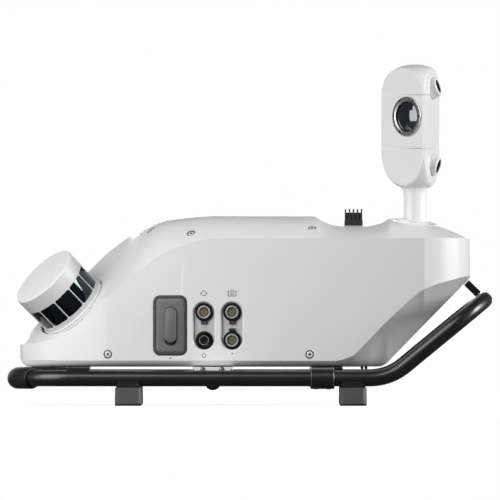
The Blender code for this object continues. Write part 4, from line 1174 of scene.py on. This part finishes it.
def make_small_lens(name, place):
    bore, rim = SMALL_GLASS_R - 0.0006, 0.0335
    hood = [(0.012, 0.018), (0.015, 0.023), (0.0145, 0.0243), (0.0138, 0.026), (0.0133, 0.0282)]
    hood += [(SMALL_HOOD_R, rim - 0.003), *arc((SMALL_HOOD_R - 0.0022, rim - 0.0022), 0.0022, 10.0, 90.0)]
    hood = turned([*hood, (bore + 0.0006, rim), (bore, rim - 0.0006), (bore, 0.018)], 96, ring=True)
    piece(f"small_hood_{name}", hood, "white", "white_shell", f"small_lens_hood_{name}", place=place)
    wide, deep = bore - 0.0001, 0.0185
    lining = [(wide, rim - 0.001), (wide, deep), (0.0066, deep), (0.0066, rim - 0.0058)]
    piece(f"small_cone_{name}", turned(lining, 64, ring=True), "dark", "black_fittings", place=place)
    dome = [(0.0, 0.0186), (0.0064, 0.0186), (0.0064, rim - 0.0062), (0.0056, rim - 0.0048)]
    dome = turned([*dome, (0.0042, rim - 0.0038), (0.0022, rim - 0.0031), (0.0, rim - 0.0029)], 64)
    piece(f"small_glass_{name}", dome, "lens", "dark_glass", f"small_lens_glass_{name}", place=place)


# ---- tube frame, brackets and feet

def make_frame():
    split = COUPLING_MIDDLE
    front = [
        (split - GAP, -RAIL_Y, RAIL_Z), (LOOP_X, -RAIL_Y, RAIL_Z),
        (LOOP_X, RAIL_Y, RAIL_Z), (split - GAP, RAIL_Y, RAIL_Z),
    ]
    rear_x, rear_z = REAR_BAR
    rear = [
        (split + GAP, -RAIL_Y, RAIL_Z), (SLOPE_X, -RAIL_Y, RAIL_Z), (rear_x, -RAIL_Y, rear_z),
        (rear_x, RAIL_Y, rear_z), (SLOPE_X, RAIL_Y, RAIL_Z), (split + GAP, RAIL_Y, RAIL_Z),
    ]
    front_path = rounded_path(front, [LOOP_BEND] * 2)
    rear_path = rounded_path(rear, [SLOPE_BEND, REAR_BEND, REAR_BEND, SLOPE_BEND])
    for name, path in (("front", front_path), ("rear", rear_path)):
        piece(f"tube_{name}", swept(path, TUBE_R), "tube", "black_frame", f"frame_tube_{name}")
    first = 1 + BEND_STEPS // 2
    sleeve = swept(front_path, SLEEVE_R, TUBE_R + GAP, slice(first, len(front_path) - first))
    sleeve = piece("foam_sleeve", sleeve, "foam", "black_rubber", "bumper_sleeve")
    soften(sleeve, 0.0016, 4, 60.0)

    edge = 0.0009
    start, end = COUPLING
    ring = [(SLEEVE_R - edge, end), (SLEEVE_R, end - edge), (SLEEVE_R, start + edge)]
    ring += [(SLEEVE_R - edge, start), (TUBE_R + GAP, start), (TUBE_R + GAP, end)]
    for name, side in (("near", -1.0), ("far", 1.0)):
        along_x = axis_frame((0.0, side * RAIL_Y, RAIL_Z), X_AXIS, Z_AXIS)
        coupling = solid(f"coupling_{name}", turned(ring, ROUND, ring=True), "tube", along_x)
        ys = sorted((side * 0.06, side * (RAIL_Y - 0.006)))
        plate = box_mesh((start + 0.0012, ys[0], 0.0472), (0.122, ys[1], BOTTOM_Z - GAP), 0.0004)
        carve(coupling, [(plate, None)], "UNION")
        carve(coupling, [(rod(TUBE_R + GAP, start - 0.001, 0.1225, ROUND), along_x)])
        belongs(coupling, HOUSING, "black_frame", f"tube_coupling_{name}")
        for k, x in enumerate((start + 0.0014, end - 0.0014)):
            band = hoop(SLEEVE_R - 0.0006, SLEEVE_R + 0.0001, x - 0.0003, x + 0.0003, ROUND)
            piece(f"coupling_band_{name}_{k}", band, "steel", "steel", place=along_x)
        for k, x in enumerate((start + 0.0075, end - 0.0075)):
            at = (x, side * RAIL_Y, RAIL_Z - SLEEVE_R - 0.0006)
            down = axis_frame(at, (0.0, 0.0, -1.0), X_AXIS)
            screw = socket_screw(0.0026, 0.0022, 0.0024, 32)
            piece(f"coupling_screw_{name}_{k}", screw, "steel", "steel", place=down)


def knob_mesh(sides=144):
    """A hand knob with a fluted rim and a dished face."""
    levels = (
        (0.01, 0.0, 0.0), (0.0113, 0.0008, 0.00035), (0.0115, 0.002, 0.0005), (0.0115, 0.0076, 0.0005),
        (0.0112, 0.0088, 0.00035), (0.0104, 0.0096, 0.0), (0.009, 0.0098, 0.0), (0.008, 0.0088, 0.0),
    )
    rings = []
    for r, z, depth in levels:
        ring = []
        for i in range(sides):
            a = 2.0 * pi * i / sides
            wave = depth * (0.5 - 0.5 * cos(KNOB_LOBES * a))
            ring.append(((r - wave) * cos(a), (r - wave) * sin(a), z))
        rings.append(ring)
    return loft(rings)


def make_brackets():
    for name, width, look in (
        ("nose_bracket", 0.0007, "black"), ("centre_bracket", 0.0006, "white"),
        ("rear_strut", 0.0005, "black"),
    ):
        dress(NODES[name], look)
        soften(NODES[name], width, 3)
    dish = ((0.0, 0.0088), (0.0078, 0.0088), (0.0078, 0.0097), (0.0074, 0.01), (0.0, 0.0103))
    for side, word in ((-1.0, "near"), (1.0, "far")):
        out, end = (0.0, side, 0.0), side * BRACKET_END_Y
        for k, x in enumerate((-0.062, -0.037)):
            bolt(f"bracket_bolt_{word}_{k}", (x, end, BRACKET_Z), out, 0.0026)
            # A near-black disc round each bolt head: painted shade on the bracket.
            behind = axis_frame((x, end, BRACKET_Z), out, Z_AXIS)
            shade = rod(0.0034, -0.0004, 0.0003, 32)
            piece(f"bracket_bolt_shade_{word}_{k}", shade, "dark", "black_fittings", place=behind)
        for k, x in enumerate((-0.0745, -0.0245)):
            bolt(f"bracket_pin_{word}_{k}", (x, end, 0.0468), out, 0.0011, "dark")
        for k, x in enumerate((-0.231, -0.219)):
            bolt(f"nose_bolt_{word}_{k}", (x, side * 0.129, 0.0472), (0.0, 0.0, -1.0), 0.003, "black")
        place = axis_frame((KNOB_X, end + side * 0.0004, KNOB_Z), out, Z_AXIS)
        body = f"knob_{word}"
        piece(body, knob_mesh(), "black", "black_fittings", f"bracket_knob_{word}", place=place, body=body)
        piece(f"knob_face_{word}", turned(dish, 64), "grey", "grey_plastic", place=place, body=body)


def foot_mesh(corner, steps, levels):
    """Rounded rectangles that lie flat, one for each (height, inset)."""
    rings = []
    for z, inset in levels:
        outline = rounded_outline(FOOT_LENGTH - 2 * inset, FOOT_DEPTH - 2 * inset, corner, steps)
        rings.append([(x, y, z) for x, y in outline])
    return loft(rings)


def make_feet():
    """Chamfered blocks with a rubber sole, and clamps that saddle the rail."""
    sole = 0.0022
    block_levels = ((sole, 0.0004), (sole + 0.0005, 0.0), (FOOT_TOP - 0.0005, 0.0003), (FOOT_TOP, 0.0008))
    sole_levels = ((0.0, 0.0006), (0.0004, 0.0002), (sole, 0.0002))
    for end, x in zip(("front", "rear"), FOOT_X):
        for name, side in (("near", -1.0), ("far", 1.0)):
            which = f"{end}_{name}"
            place = Matrix.Translation((x, side * RAIL_Y, 0.0))
            block = solid(f"foot_{which}", foot_mesh(0.0044, 1, block_levels), "foot", place, 20.0)
            soften(block, 0.0003, 2, 20.0)
            belongs(block, HOUSING, "grey_plastic", f"foot_block_{which}")
            piece(f"sole_{which}", foot_mesh(0.0042, 4, sole_levels), "foam", "black_rubber", place=place)
            clamp = NODES[f"foot_clamp_{which}"]
            dress(clamp, "tube")
            soften(clamp, 0.0006, 3, 30.0)
            for k, dx in enumerate((-0.0118, 0.0118)):
                at = (x + dx, side * (RAIL_Y + 0.014), 0.0268)
                bolt(f"clamp_bolt_{which}_{k}", at, (0.0, side, 0.0), 0.0017, "black")


def dress_inner_nodes():
    looks = {
        "chassis_plate": "alloy", "main_board": "board", "inertial_unit": "alloy", "power_module": "grey",
        "storage_bay": "grey", "connector_panel_front": "recess", "connector_panel_rear": "recess",
        "mast_clamp": "alloy", "camera_core": "alloy", "scan_motor_stator": "copper", "scan_bearing": "steel",
        "scan_spindle": "alloy",
    }
    for node, look in looks.items():
        dress(NODES[node], look)


# ---- studio

def seen_or_lit(tree, seen, lit, output):
    """Shows one shader to the camera and lights the scene with the other."""
    rays, mix = tree.nodes.new("ShaderNodeLightPath"), tree.nodes.new("ShaderNodeMixShader")
    tree.links.new(rays.outputs["Is Camera Ray"], mix.inputs["Fac"])
    tree.links.new(lit.outputs[0], mix.inputs[1])
    tree.links.new(seen.outputs[0], mix.inputs[2])
    tree.links.new(mix.outputs["Shader"], tree.nodes[output].inputs["Surface"])


def make_floor():
    disc = bmesh.new()
    bmesh.ops.create_circle(disc, cap_ends=True, radius=FLOOR_R, segments=96)
    data = bpy.data.meshes.new("floor")
    disc.to_mesh(data)
    disc.free()
    floor = link("floor", data)
    floor.location.z = -0.00005
    pale = bpy.data.materials.new("pale_floor")
    pale.use_nodes = True
    nodes, links = pale.node_tree.nodes, pale.node_tree.links
    nodes.remove(nodes["Principled BSDF"])
    matte, shade = nodes.new("ShaderNodeBsdfDiffuse"), nodes.new("ShaderNodeBsdfDiffuse")
    glow, both = nodes.new("ShaderNodeEmission"), nodes.new("ShaderNodeAddShader")
    matte.inputs["Color"].default_value = (FLOOR_MATTE, FLOOR_MATTE, FLOOR_MATTE, 1.0)
    shade.inputs["Color"].default_value = (FLOOR_BOUNCE, FLOOR_BOUNCE, FLOOR_BOUNCE, 1.0)
    glow.inputs["Strength"].default_value = FLOOR_GLOW
    links.new(matte.outputs["BSDF"], both.inputs[0])
    links.new(glow.outputs["Emission"], both.inputs[1])
    seen_or_lit(pale.node_tree, both, shade, "Material Output")
    data.materials.append(pale)


def make_studio():
    scene = bpy.context.scene
    scene.view_settings.view_transform = "Standard"
    world = bpy.data.worlds.new("studio")
    scene.world = world
    world.use_nodes = True
    lit, seen = world.node_tree.nodes["Background"], world.node_tree.nodes.new("ShaderNodeBackground")
    for background, strength in ((lit, WORLD_LIGHT), (seen, 1.0)):
        background.inputs["Color"].default_value = (1.0, 1.0, 1.0, 1.0)
        background.inputs["Strength"].default_value = strength
    seen_or_lit(world.node_tree, seen, lit, "World Output")
    make_floor()
    for name, at, target, size, power in LIGHTS:
        data = bpy.data.lights.new(name, "AREA")
        data.shape = "RECTANGLE"
        data.size, data.size_y = size
        data.energy = power
        lamp = link(name, data)
        lamp.location = at
        lamp.rotation_euler = (Vector(target) - Vector(at)).to_track_quat("-Z", "Y").to_euler()
    camera = bpy.data.cameras.new("camera")
    camera.lens = CAMERA_LENS
    camera.sensor_width = 36.0
    camera.clip_end = 120.0
    eye = link("camera", camera)
    eye.location = CAMERA_AT
    eye.rotation_euler = (pi / 2.0, 0.0, 0.0)
    scene.camera = eye


make_studio()
LOOKS = {look: finish(*values, **EXTRAS.get(look, {})) for look, values in FINISHES.items()}
add_film(LOOKS["film"])
make_housing()
make_heat_sink()
make_connector("antenna", RECESS_X[0], UPPER_Z, -1.0, "slate")
make_connector("camera", RECESS_X[1], UPPER_Z, -1.0, "maroon")
make_connector("data", RECESS_X[1], LOWER_Z, 1.0, "black")
make_button()
make_cartridge()
make_marks()
make_scan_head()
make_mast()
make_camera()
make_frame()
make_brackets()
make_feet()
dress_inner_nodes()
